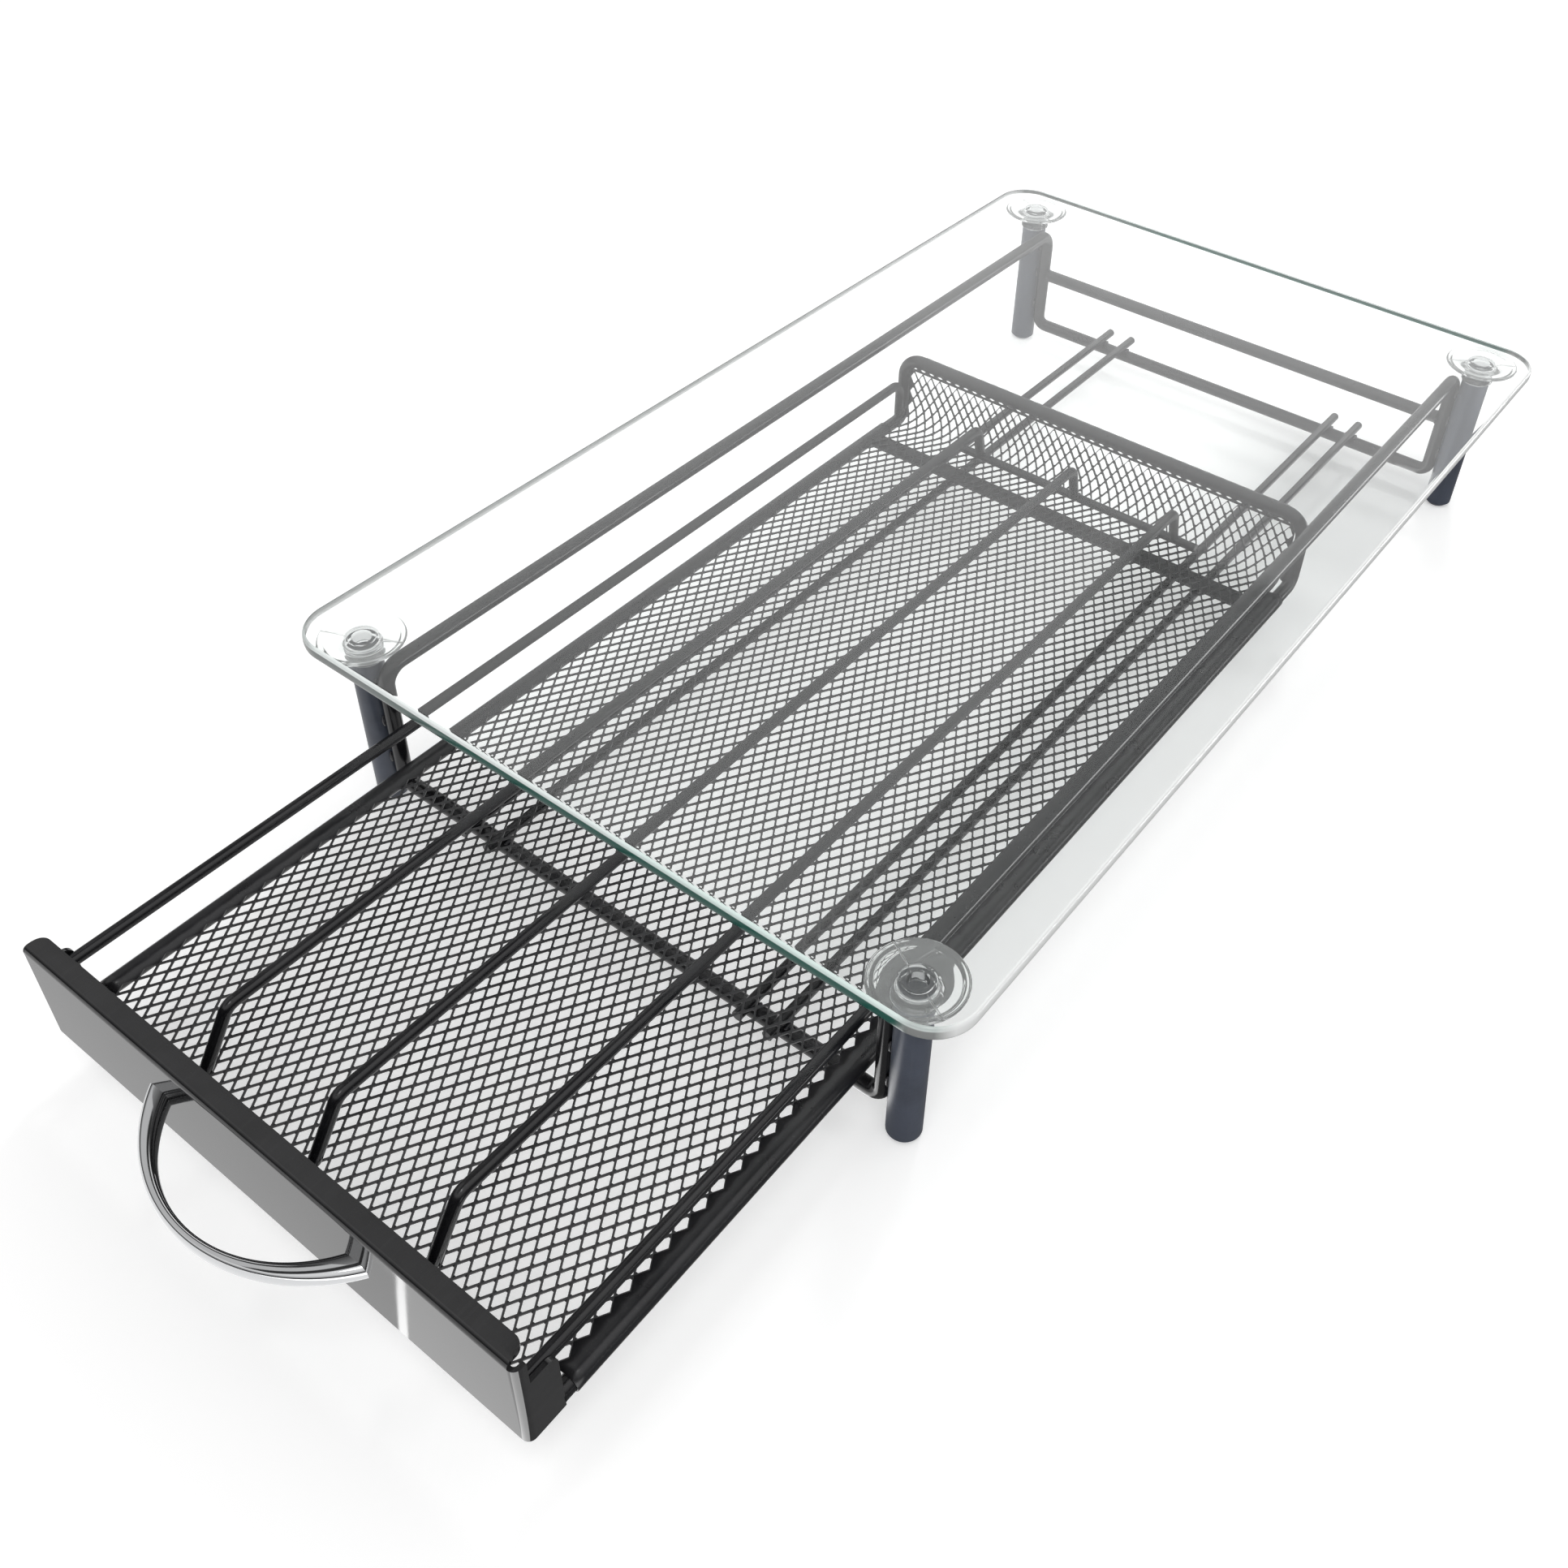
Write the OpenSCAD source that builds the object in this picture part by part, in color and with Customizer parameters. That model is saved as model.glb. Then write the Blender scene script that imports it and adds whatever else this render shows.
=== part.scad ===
// Coffee pod drawer: a glass shelf on four rods, with a wire and mesh
// drawer that slides under it on four runner wires.
// Millimetres, +Z up. The origin is on the table, at the centre of the four
// legs. The drawer opens towards -Y and is built partly pulled out.

/* [Glass top] */
// Width of the glass, left to right
glass_w = 236; // [228:1:260]
// Depth of the glass, front to back
glass_l = 400; // [392:1:440]
// Thickness of the glass
glass_t = 4.5; // [3:0.5:8]
// Radius of the glass's four corners
glass_corner_r = 13.5; // [2:0.5:18]

/* [Legs and glass holders] */
// Half the distance between left and right legs
leg_x = 100; // [98:1:108]
// Half the distance between front and back legs
leg_y = 186; // [183:1:192]
// Diameter of a leg
leg_d = 10; // [7:0.5:12]
// Height of a leg
leg_h = 54; // [53:0.5:58]
// Bevel round a leg's lower end
leg_bevel = 1.5; // [0.5:0.25:2.5]
// Diameter of the disc under the glass
pad_d = 26; // [20:1:28]
// Thickness of the disc at its rim
pad_t = 1; // [0.6:0.1:1.4]
// Height of the whole holder, leg to glass
holder_h = 7.5; // [6.5:0.5:9]
// Diameter of the holder's neck
neck_d = 8.6; // [7:0.2:10]
// Diameter of the hole in the middle of the disc
pad_hole_d = 5.4; // [3:0.2:6]
// Depth of that hole
pad_hole_depth = 3; // [1:0.5:4]
// Width of the disc's flat lower rim
pad_lip = 1.2; // [0.6:0.1:2]
// Height of the cone from the neck out to that rim
pad_cone_h = 0.9; // [0.5:0.1:1.2]
// How far the holder's collar stands out past the leg
collar_out = 0.3; // [0:0.1:0.8]
// Height of the collar
collar_h = 0.8; // [0.4:0.1:1.4]
// Height at which the taper from collar to neck ends
flare_h = 2.5; // [1.6:0.1:3.5]

/* [Frame wires] */
// Diameter of the frame wire
wire_d = 5; // [4:0.25:5.5]
// Height of the upper rails' centre line
rail_top_z = 52.4; // [51.5:0.1:54]
// Height of the cross rods' centre line
cross_z = 9; // [7:0.5:10]
// Radius of the bends from an upper rail down into its posts, on the centre line
wire_bend_r = 6.5; // [5:0.5:9]
// Radius of the bends from the posts into the cross rods, on the centre line
cross_bend_r = 4; // [3.5:0.25:6]
// Height of the upper back bar, the drawer's stop
back_bar_z = 33.2; // [30:0.2:38]
// Diameter of a runner wire
runner_d = 3.3; // [2.5:0.1:3.5]
// Distance from the middle to the centre of a pair of runner wires
runner_pair_x = 53.75; // [40:0.25:62]
// Distance between the two wires of a pair
runner_gap = 10.5; // [8:0.5:16]
// Length of a runner wire that stands out past a cross rod's centre
runner_overhang = 7; // [4:0.5:9]

/* [Drawer basket] */
// Clearance between the drawer and the runner wires
slide_clear = 0.3; // [0.3:0.05:0.6]
// How far the back of the basket stands in front of the frame's back bar
pull_out = 116.5; // [115:0.5:140]
// Length of the drawer, front face to the back rim's centre
drawer_l = 377.5; // [360:0.5:385]
// Half width of the basket, between the edge rods' centres
edge_x = 85.5; // [84:0.1:86]
// Diameter of the edge rods and of the rim
edge_d = 4.8; // [4:0.2:5]
// Height of the rim's centre line above the edge rods' centre line
rim_rise = 27.7; // [24:0.1:30]
// Radius of the rim's upper corners, on the centre line
rim_bend_r = 8; // [5:0.5:12]
// Radius of the bend from an edge rod up into the rim, on the centre line
edge_bend_r = 4; // [3.5:0.25:5]
// Height of the side rails' and dividers' centre line above the edge rods'
rail_rise = 18; // [15:0.5:20]
// Diameter of side rails and dividers
rail_d = 3.5; // [3:0.1:4]
// Radius of the side rails' rear bend, on the centre line
rail_bend_r = 5; // [4:0.5:8]
// Distance between neighbouring dividers
lane_pitch = 42.2; // [41:0.1:43]
// Distance from the drawer's front face to the dividers' front bend
divider_front = 27; // [24:0.5:35]
// Angle by which a divider turns down at its front end
divider_front_angle = 56; // [48:1:75]
// Angle by which a divider turns down at its rear end
divider_rear_angle = 74; // [66:1:84]
// Radius of the dividers' bends, on the centre line
divider_bend_r = 4; // [3:0.5:5]
// Diameter of the wire that joins the dividers' rear feet
foot_wire_d = 3.2; // [2.5:0.1:4]
// Length of that wire
foot_wire_l = 102.5; // [90:0.5:130]

/* [Mesh] */
// Thickness of the mesh sheet
mesh_t = 0.9; // [0.6:0.1:1.2]
// Width of a mesh cell
cell_w = 16.2; // [12:0.6:24]
// Length of a mesh cell
cell_l = 26.4; // [20:0.6:36]
// Width of a mesh strand
strand_w = 3; // [2:0.2:4]
// Width of the unslit border of the mesh
border_w = 3; // [2:0.5:5]
// Clearance between the mesh and the rods beside it
mesh_gap = 0.1; // [0.05:0.05:0.3]
// Radius of the mesh's bend from floor to back wall, at mid thickness
mesh_bend_r = 8; // [6:0.5:10]
// Width of the flat cross strip under the basket
strip_w = 8; // [5:0.5:12]
// Thickness of the cross strip
strip_t = 1; // [0.8:0.1:1.5]
// Distance from the back rim's centre to the cross strip's middle
strip_back = 17; // [10:1:60]

/* [Front panel] */
// Half width of the panel
panel_x = 87.5; // [87:0.1:88]
// Thickness of the panel's sheet
sheet_t = 1.2; // [0.8:0.1:1.5]
// Outer radius of the panel's bends
sheet_bend_r = 2.2; // [1.8:0.1:3]
// Height of the panel
panel_h = 34.2; // [30:0.2:38]
// Depth of the panel's top flange
top_flange = 5.8; // [4:0.2:8]
// Depth of the panel's side flanges
side_flange = 11.2; // [9:0.2:14]
// Height of the side flanges
side_flange_h = 23.5; // [22:0.5:28]
// Corner radius of the flanges
flange_corner_r = 3; // [1:0.5:4]

/* [Handle] */
// Half span of the handle, outer side, at the panel
handle_x = 39.7; // [34:0.1:50]
// How far the handle stands out from the panel
handle_out = 20.3; // [16:0.1:24]
// Thickness of the handle at its middle
handle_mid_t = 2.8; // [2.4:0.1:5]
// Thickness of the handle at the panel, along the panel
handle_foot_t = 8; // [6:0.5:10]
// Height of the handle's section
handle_h = 5; // [4.6:0.2:10]
// Radius of the handle's outer edges
handle_edge_r = 1.6; // [1:0.2:2.2]

/* [Hidden] */
$fn = 48;

// Frame
glass_z = leg_h + holder_h;
wire_r = wire_d / 2;
wire_x = leg_x - leg_d / 2 - wire_r;
runner_r = runner_d / 2;
runner_z = cross_z + wire_r + runner_r;
runner_l = 2 * (leg_y + runner_overhang);
pad_r = pad_d / 2;
neck_r = neck_d / 2;
collar_r = leg_d / 2 + collar_out;

// Drawer
rim_y = leg_y - pull_out;
front_y = rim_y - drawer_l;
edge_r = edge_d / 2;
rail_r = rail_d / 2;
strip_z = runner_z + runner_r + slide_clear;
edge_z = strip_z + strip_t + edge_r;
rail_z = edge_z + rail_rise;
rim_z = edge_z + rim_rise;
rail_x = panel_x - sheet_t - rail_r;
rail_rear_y = rim_y - edge_r - rail_r;
panel_z = edge_z - edge_r - slide_clear;
panel_back_y = front_y + sheet_t;
edge_front_y = front_y + side_flange;
mesh_top_z = edge_z + edge_r;
mesh_mid_z = mesh_top_z - mesh_t / 2;
mesh_wall_y = rim_y - mesh_t / 2;
mesh_bend_y = mesh_wall_y - mesh_bend_r;
mesh_bend_z = mesh_mid_z + mesh_bend_r;
// The mesh ends where it meets the round side of an edge rod.
mesh_x = edge_x - sqrt(edge_r * edge_r - pow(edge_r - mesh_t, 2)) - mesh_gap;
mesh_bend_x = rail_x - rail_r - mesh_gap;
mesh_wall_x = edge_x - edge_r - mesh_gap;
mesh_wall_top = rim_z - edge_r;
mesh_wall_r = rim_bend_r - edge_r;
foot_r = foot_wire_d / 2;
foot_z = mesh_top_z + foot_r;
foot_y = mesh_bend_y;
divider_front_y = front_y + divider_front;
// The leg of a divider's rear hook is as long as the drop to the foot wire
// needs, and the rod before it ends where that leg meets the wire.
rear_drop = rail_z - foot_z - divider_bend_r * (1 - cos(divider_rear_angle));
rear_leg = rear_drop / sin(divider_rear_angle);
rear_reach = divider_bend_r * sin(divider_rear_angle) + rear_leg * cos(divider_rear_angle);
divider_rear_y = round(100 * (foot_y - rear_reach)) / 100;
strip_y = rim_y - strip_back;

// Handle: two round cylinders cut its outer and inner sides.
function arc_r(half, rise) = (half * half + rise * rise) / (2 * rise);
handle_r = arc_r(handle_x, handle_out);
handle_in_r = arc_r(handle_x - handle_foot_t, handle_out - handle_mid_t);
handle_c_y = front_y - handle_out + handle_r;
handle_in_c_y = front_y - handle_out + handle_mid_t + handle_in_r;
handle_z = panel_z + panel_h / 2;

// Cutters reach this far past what they cut.
past = 1;
// A straight piece shorter than this is left out of a wire.
least = 0.001;

glass_tint = [0.75, 0.9, 0.88, 0.35];
clear_plastic = [0.85, 0.88, 0.88, 0.5];
leg_black = [0.05, 0.05, 0.06];
wire_black = [0.07, 0.07, 0.08];
mesh_black = [0.1, 0.1, 0.11];
panel_black = [0.13, 0.13, 0.14];
chrome = [0.8, 0.8, 0.82];

// A round wire along the points of a path in the local XY plane, with a bend
// of radius bend at each inner point.
function dir(a, b) = atan2(b[1] - a[1], b[0] - a[0]);
function turn(p, i) = let (t = dir(p[i], p[i + 1]) - dir(p[i - 1], p[i]))
    t > 180 ? t - 360 : t < -180 ? t + 360 : t;
function cut(p, i, bend) = i == 0 || i == len(p) - 1 ? 0 : bend * tan(abs(turn(p, i)) / 2);
module bent_wire(p, r, bend) {
    for (i = [0 : len(p) - 2]) {
        a = dir(p[i], p[i + 1]);
        long = norm(p[i + 1] - p[i]) - cut(p, i, bend) - cut(p, i + 1, bend);
        if (long > least)
            translate([p[i][0], p[i][1], 0]) rotate(a) translate([cut(p, i, bend), 0, 0])
                rotate([0, 90, 0]) cylinder(h = long, r = r);
    }
    for (i = [1 : 1 : len(p) - 2]) {
        a = dir(p[i - 1], p[i]);
        t = turn(p, i);
        side = t > 0 ? 1 : -1;
        s = p[i] - cut(p, i, bend) * [cos(a), sin(a)];
        c = s + side * bend * [-sin(a), cos(a)];
        translate([c[0], c[1], 0]) rotate(side > 0 ? a - 90 : a + 90 + t)
            rotate_extrude(angle = abs(t)) translate([bend, 0]) circle(r = r);
    }
}
// A divider's bend is thicker than its rod by this much, as wire swells where
// it is bent, and the straight pieces start this far inside the bend.
swell = 0.03;
lap = 0.3;
// A bend that starts at the origin along +X and turns down by an angle, with
// a straight leg after it.
module hook(r, bend, angle, leg) translate([0, -bend, 0]) {
    rotate(90 - angle) rotate_extrude(angle = angle) translate([bend, 0])
        circle(r = r + swell);
    rotate(-angle) translate([-lap, bend, 0]) rotate([0, 90, 0])
        cylinder(h = leg + lap, r = r);
}
// Local X and Y become +Y and +Z, at the given X.
module in_yz(x) translate([x, 0, 0]) rotate([90, 0, 90]) children();
// Local X and Y become +X and +Z, at the given Y.
module in_xz(y) translate([0, y, 0]) rotate([90, 0, 0]) children();
module rod_x(l, r) rotate([0, 90, 0]) cylinder(h = l, r = r, center = true);

module rounded(w, l, r) {
    square([w - 2 * r, l], center = true);
    square([w, l - 2 * r], center = true);
    for (x = [-1, 1], y = [-1, 1])
        translate([x * (w / 2 - r), y * (l / 2 - r)]) circle(r = r);
}

// What a round corner takes away from a square one, at the origin.
module corner_cut(r) translate([-r, -r]) difference() {
    square(r + past);
    circle(r = r);
}

// Frame
module glass_top() color(glass_tint)
    translate([0, 0, glass_z]) linear_extrude(glass_t)
        rounded(glass_w, glass_l, glass_corner_r);

module holder(x, y) color(clear_plastic)
    translate([x * leg_x, y * leg_y, leg_h]) rotate_extrude() polygon([
        [0, 0], [collar_r, 0], [collar_r, collar_h], [neck_r, flare_h],
        [neck_r, holder_h - pad_t - pad_cone_h],
        [pad_r - pad_lip, holder_h - pad_t], [pad_r, holder_h - pad_t],
        [pad_r, holder_h], [pad_hole_d / 2, holder_h],
        [pad_hole_d / 2, holder_h - pad_hole_depth], [0, holder_h - pad_hole_depth]]);

module leg(x, y) color(leg_black)
    translate([x * leg_x, y * leg_y, 0]) rotate_extrude() polygon([
        [0, 0], [leg_d / 2 - leg_bevel, 0], [leg_d / 2, leg_bevel],
        [leg_d / 2, leg_h], [0, leg_h]]);

// An upper rail with its two posts, and the bends that lead to the cross rods.
module frame_wire(x) color(wire_black) {
    low_z = cross_z + cross_bend_r;
    in_yz(x * wire_x) bent_wire([[-leg_y, low_z], [-leg_y, rail_top_z],
        [leg_y, rail_top_z], [leg_y, low_z]], wire_r, wire_bend_r);
    for (y = [-1, 1]) in_xz(y * leg_y)
        bent_wire([[x * wire_x, low_z], [x * wire_x, cross_z],
            [x * (wire_x - cross_bend_r), cross_z]], wire_r, cross_bend_r);
}

module cross_rod(y) color(wire_black)
    translate([0, y * leg_y, cross_z]) rod_x(2 * (wire_x - cross_bend_r), wire_r);

module upper_back_bar() color(wire_black)
    translate([0, leg_y, back_bar_z]) rod_x(2 * (wire_x - wire_r), wire_r);

module runner(x, side) color(wire_black)
    translate([x * runner_pair_x + side * runner_gap / 2, 0, runner_z])
        rotate([90, 0, 0]) cylinder(h = runner_l, r = runner_r, center = true);

// Drawer
module net(w, l) {
    a = atan2(cell_l, cell_w);
    rows = ceil(w / cell_w + l / cell_l);
    intersection() {
        square([w, l], center = true);
        union() for (k = [-rows : rows], s = [-1, 1])
            translate([(k + 0.5) * cell_w, 0]) rotate(s * a)
                square([2 * (w + l), strand_w], center = true);
    }
    difference() {
        square([w, l], center = true);
        square([w - 2 * border_w, l - 2 * border_w], center = true);
    }
}

module mesh_floor() color(mesh_black) {
    floor_l = mesh_bend_y - panel_back_y;
    translate([0, panel_back_y + floor_l / 2, mesh_top_z - mesh_t])
        linear_extrude(mesh_t) net(2 * mesh_x, floor_l);
    translate([-mesh_bend_x, mesh_bend_y, mesh_bend_z]) rotate([90, 0, 90])
        rotate(-90) linear_extrude(2 * mesh_bend_x) intersection() {
            difference() {
                circle(r = mesh_bend_r + mesh_t / 2);
                circle(r = mesh_bend_r - mesh_t / 2);
            }
            square(2 * mesh_bend_r);
        }
}

// The wall's upper corners are round, to fit inside the rim's bends.
module mesh_back() color(mesh_black) {
    wall_h = mesh_wall_top - mesh_bend_z;
    translate([0, mesh_wall_y + mesh_t / 2, mesh_bend_z + wall_h / 2]) rotate([90, 0, 0])
        linear_extrude(mesh_t) difference() {
            net(2 * mesh_wall_x, wall_h);
            for (s = [0, 1]) mirror([s, 0]) translate([mesh_wall_x, wall_h / 2])
                corner_cut(mesh_wall_r);
        }
}

module edge_rod(x) color(wire_black)
    in_yz(x * edge_x) bent_wire([[edge_front_y, edge_z], [rim_y, edge_z],
        [rim_y, edge_z + edge_bend_r]], edge_r, edge_bend_r);

module basket_rim() color(wire_black)
    in_xz(rim_y) bent_wire([[-edge_x, edge_z + edge_bend_r], [-edge_x, rim_z],
        [edge_x, rim_z], [edge_x, edge_z + edge_bend_r]], edge_r, rim_bend_r);

module side_rail(x) color(wire_black)
    in_yz(x * rail_x) bent_wire([[front_y + sheet_bend_r, rail_z], [rail_rear_y, rail_z],
        [rail_rear_y, edge_z + edge_bend_r]], rail_r, rail_bend_r);

module divider(x) color(wire_black)
    in_yz(x * lane_pitch) difference() {
        union() {
            translate([divider_front_y - lap, rail_z, 0]) rotate([0, 90, 0])
                cylinder(h = divider_rear_y - divider_front_y + 2 * lap, r = rail_r);
            translate([divider_front_y, rail_z, 0]) mirror([1, 0, 0])
                hook(rail_r, divider_bend_r, divider_front_angle, rail_rise);
            translate([divider_rear_y, rail_z, 0])
                hook(rail_r, divider_bend_r, divider_rear_angle, rear_leg - foot_r / 2);
        }
        translate([front_y, mesh_top_z - rail_rise, -rail_d])
            cube([divider_front_y - front_y, rail_rise, 2 * rail_d]);
        translate([foot_y, foot_z, 0]) cylinder(h = 2 * rail_d, r = foot_r, center = true);
    }

module foot_wire() color(wire_black)
    translate([0, foot_y, foot_z]) rod_x(foot_wire_l, foot_r);

module cross_strip() color(mesh_black)
    translate([-edge_x, strip_y - strip_w / 2, strip_z])
        cube([2 * edge_x, strip_w, strip_t]);

// A sheet with one bend at the origin: one arm along +X, one along +Y.
module angle_sheet(a, b) {
    translate([sheet_bend_r, 0]) square([a - sheet_bend_r, sheet_t]);
    translate([0, sheet_bend_r]) square([sheet_t, b - sheet_bend_r]);
    translate([sheet_bend_r, sheet_bend_r]) intersection() {
        difference() {
            circle(r = sheet_bend_r);
            circle(r = sheet_bend_r - sheet_t);
        }
        translate([-sheet_bend_r, -sheet_bend_r]) square(sheet_bend_r);
    }
}

// Front sheet with side bends and side flanges, then the top bend and flange.
module front_panel() color(panel_black) {
    half_w = panel_x - sheet_bend_r;
    side_h = panel_h - sheet_bend_r;
    difference() {
        union() for (s = [0, 1]) mirror([s, 0, 0])
            translate([-panel_x, front_y, panel_z]) linear_extrude(side_h)
                angle_sheet(panel_x, side_flange);
        for (s = [0, 1]) mirror([s, 0, 0]) {
            translate([-panel_x - past, front_y + sheet_bend_r + sheet_t,
                panel_z + side_flange_h])
                cube([sheet_bend_r + 2 * past, side_flange, side_h]);
            translate([-panel_x - past, front_y + side_flange, panel_z + side_flange_h])
                rotate([90, 0, 90]) linear_extrude(sheet_bend_r + 2 * past)
                    corner_cut(flange_corner_r);
        }
    }
    difference() {
        translate([-half_w, front_y, panel_z + panel_h]) rotate([90, 0, 90])
            rotate(-90) linear_extrude(2 * half_w) angle_sheet(side_h, top_flange);
        translate([-half_w - past, front_y - past, panel_z - past])
            cube([2 * half_w + 2 * past, sheet_t + 2 * past, side_h + past]);
        for (s = [0, 1]) mirror([s, 0, 0])
            translate([half_w, front_y + top_flange, panel_z + panel_h - sheet_bend_r])
                linear_extrude(sheet_bend_r + past) corner_cut(flange_corner_r);
    }
}

module handle() color(chrome)
    difference() {
        translate([0, handle_c_y, handle_z]) rotate_extrude() {
            translate([0, -handle_h / 2]) square([handle_r - handle_edge_r, handle_h]);
            translate([0, -handle_h / 2 + handle_edge_r])
                square([handle_r, handle_h - 2 * handle_edge_r]);
            for (s = [-1, 1]) translate([handle_r - handle_edge_r,
                s * (handle_h / 2 - handle_edge_r)]) circle(r = handle_edge_r);
        }
        translate([0, handle_in_c_y, handle_z - handle_h])
            cylinder(h = 2 * handle_h, r = handle_in_r);
        translate([-2 * handle_r, front_y, handle_z - handle_h])
            cube([4 * handle_r, 4 * handle_r, 2 * handle_h]);
    }

glass_top();
holder(-1, -1);  // holder_front_left
holder(1, -1);  // holder_front_right
holder(-1, 1);  // holder_back_left
holder(1, 1);  // holder_back_right
leg(-1, -1);  // leg_front_left
leg(1, -1);  // leg_front_right
leg(-1, 1);  // leg_back_left
leg(1, 1);  // leg_back_right
frame_wire(-1);  // frame_wire_left
frame_wire(1);  // frame_wire_right
cross_rod(-1);  // cross_rod_front
cross_rod(1);  // cross_rod_back
upper_back_bar();
runner(-1, -1);  // runner_left_outer
runner(-1, 1);  // runner_left_inner
runner(1, -1);  // runner_right_inner
runner(1, 1);  // runner_right_outer
mesh_floor();
mesh_back();
edge_rod(-1);  // edge_rod_left
edge_rod(1);  // edge_rod_right
basket_rim();
side_rail(-1);  // side_rail_left
side_rail(1);  // side_rail_right
divider(-1);  // divider_left
divider(0);  // divider_middle
divider(1);  // divider_right
foot_wire();
cross_strip();
front_panel();
handle();
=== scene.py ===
"""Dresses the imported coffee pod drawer: fine mesh, finishes, studio and camera."""
import logging  # noqa: E402
import math  # noqa: E402
from collections.abc import Sequence  # noqa: E402
from dataclasses import dataclass  # noqa: E402
from enum import Enum  # noqa: E402

import bmesh  # noqa: E402
import bpy  # noqa: E402
import numpy as np  # noqa: E402
from bpy.types import Material, Node, NodeTree, Object  # noqa: E402
from bpy.types import NodeSocket as Socket  # noqa: E402
from mathutils import Matrix, Vector  # noqa: E402


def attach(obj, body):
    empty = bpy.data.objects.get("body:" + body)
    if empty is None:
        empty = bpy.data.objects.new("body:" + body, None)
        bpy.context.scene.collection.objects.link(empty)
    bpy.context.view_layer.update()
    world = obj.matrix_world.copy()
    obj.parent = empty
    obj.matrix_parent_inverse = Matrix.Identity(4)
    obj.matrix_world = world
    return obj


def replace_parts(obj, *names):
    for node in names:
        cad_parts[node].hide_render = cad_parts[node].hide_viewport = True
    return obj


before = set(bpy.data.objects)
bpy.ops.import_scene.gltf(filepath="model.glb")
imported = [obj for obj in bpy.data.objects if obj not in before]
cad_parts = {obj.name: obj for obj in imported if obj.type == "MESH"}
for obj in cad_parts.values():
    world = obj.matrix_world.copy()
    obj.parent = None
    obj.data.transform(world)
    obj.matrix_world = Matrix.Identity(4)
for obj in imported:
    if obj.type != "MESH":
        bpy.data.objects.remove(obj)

logging.basicConfig(level=logging.INFO, format="%(message)s")
log = logging.getLogger("pod_drawer")

MM = 0.001
MERGE_M = 2e-6
DEGENERATE_M = 1e-7

Colour = tuple[float, float, float]
Triple = tuple[float, float, float]
Range = tuple[float, float]

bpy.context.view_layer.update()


class Body(Enum):
    """The two rigid bodies of the object."""

    FRAME = "frame"
    DRAWER = "drawer"


class Slot(Enum):
    """The material slots."""

    GLASS = "glass"
    LEG = "leg_black"
    HOLDER = "holder_clear"
    WIRE = "wire_black"
    MESH = "mesh_black"
    PANEL = "panel_black"
    CHROME = "chrome"


class Side(Enum):
    """Left or right of the object, as the sign of X."""

    LEFT = -1
    RIGHT = 1


# ---------------------------------------------------------------- surfaces


@dataclass
class Shell:
    """A surface: points as an (n, 3) array in millimetres, faces as index arrays."""

    points: np.ndarray
    faces: list[np.ndarray]

    @staticmethod
    def grid(points: np.ndarray, wrap_u: bool = False, wrap_v: bool = False) -> "Shell":
        """Joins a grid of points into quads, each point to its next in u and in v.

        Args:
            points: (nu, nv, 3) array.
            wrap_u: the last row joins the first.
            wrap_v: the last column joins the first.

        Returns:
            The shell, its faces turned so that u x v points outwards.
        """
        nu, nv = points.shape[:2]
        u = np.arange(nu if wrap_u else nu - 1)[:, None]
        v = np.arange(nv if wrap_v else nv - 1)[None, :]
        u2, v2 = (u + 1) % nu, (v + 1) % nv
        quads = np.stack([u * nv + v, u2 * nv + v, u2 * nv + v2, u * nv + v2], -1)
        return Shell(points.reshape(-1, 3), [quads.reshape(-1, 4)])

    @staticmethod
    def join(shells: Sequence["Shell"]) -> "Shell":
        """Puts several shells into one, with the later ones' indices moved up.

        Args:
            shells: the shells, in order.

        Returns:
            The whole.
        """
        points, faces, start = [], [], 0
        for shell in shells:
            points.append(shell.points)
            faces += [part + start for part in shell.faces]
            start += len(shell.points)
        return Shell(np.concatenate(points), faces)

    def mirrored(self, side: Side) -> "Shell":
        """The shell for a side: itself on the right, and its mirror image in X on the left.

        Args:
            side: the side that it is for.

        Returns:
            The shell, its faces still outwards.
        """
        if side is Side.RIGHT:
            return self
        return Shell(self.points * [-1, 1, 1], [part[:, ::-1] for part in self.faces])


def ring(angles: np.ndarray, radius: float, centre: Sequence[float]) -> np.ndarray:
    """Points of a circle in its own plane: centre + radius * (cos, sin) of each angle."""
    return np.stack([centre[0] + radius * np.cos(angles), centre[1] + radius * np.sin(angles)], -1)


def turned(profile: Sequence[Sequence[float]], centre: Sequence[float], steps: int) -> Shell:
    """A surface of revolution about a vertical axis.

    Each profile point (r, z) at angle a becomes (r cos a, r sin a, z).

    Args:
        profile: (r, z) pairs from the bottom pole round the outside to the top pole.
        centre: the axis's foot.
        steps: points round the axis.

    Returns:
        The closed shell.
    """
    rz = np.asarray(profile, float)
    a = np.linspace(0, 2 * np.pi, steps, endpoint=False)[:, None]
    grid = np.stack([rz[:, 0] * np.cos(a), rz[:, 0] * np.sin(a), rz[:, 1] + 0 * a], -1)
    return Shell.grid(grid + np.asarray(centre, float), wrap_u=True)


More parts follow.
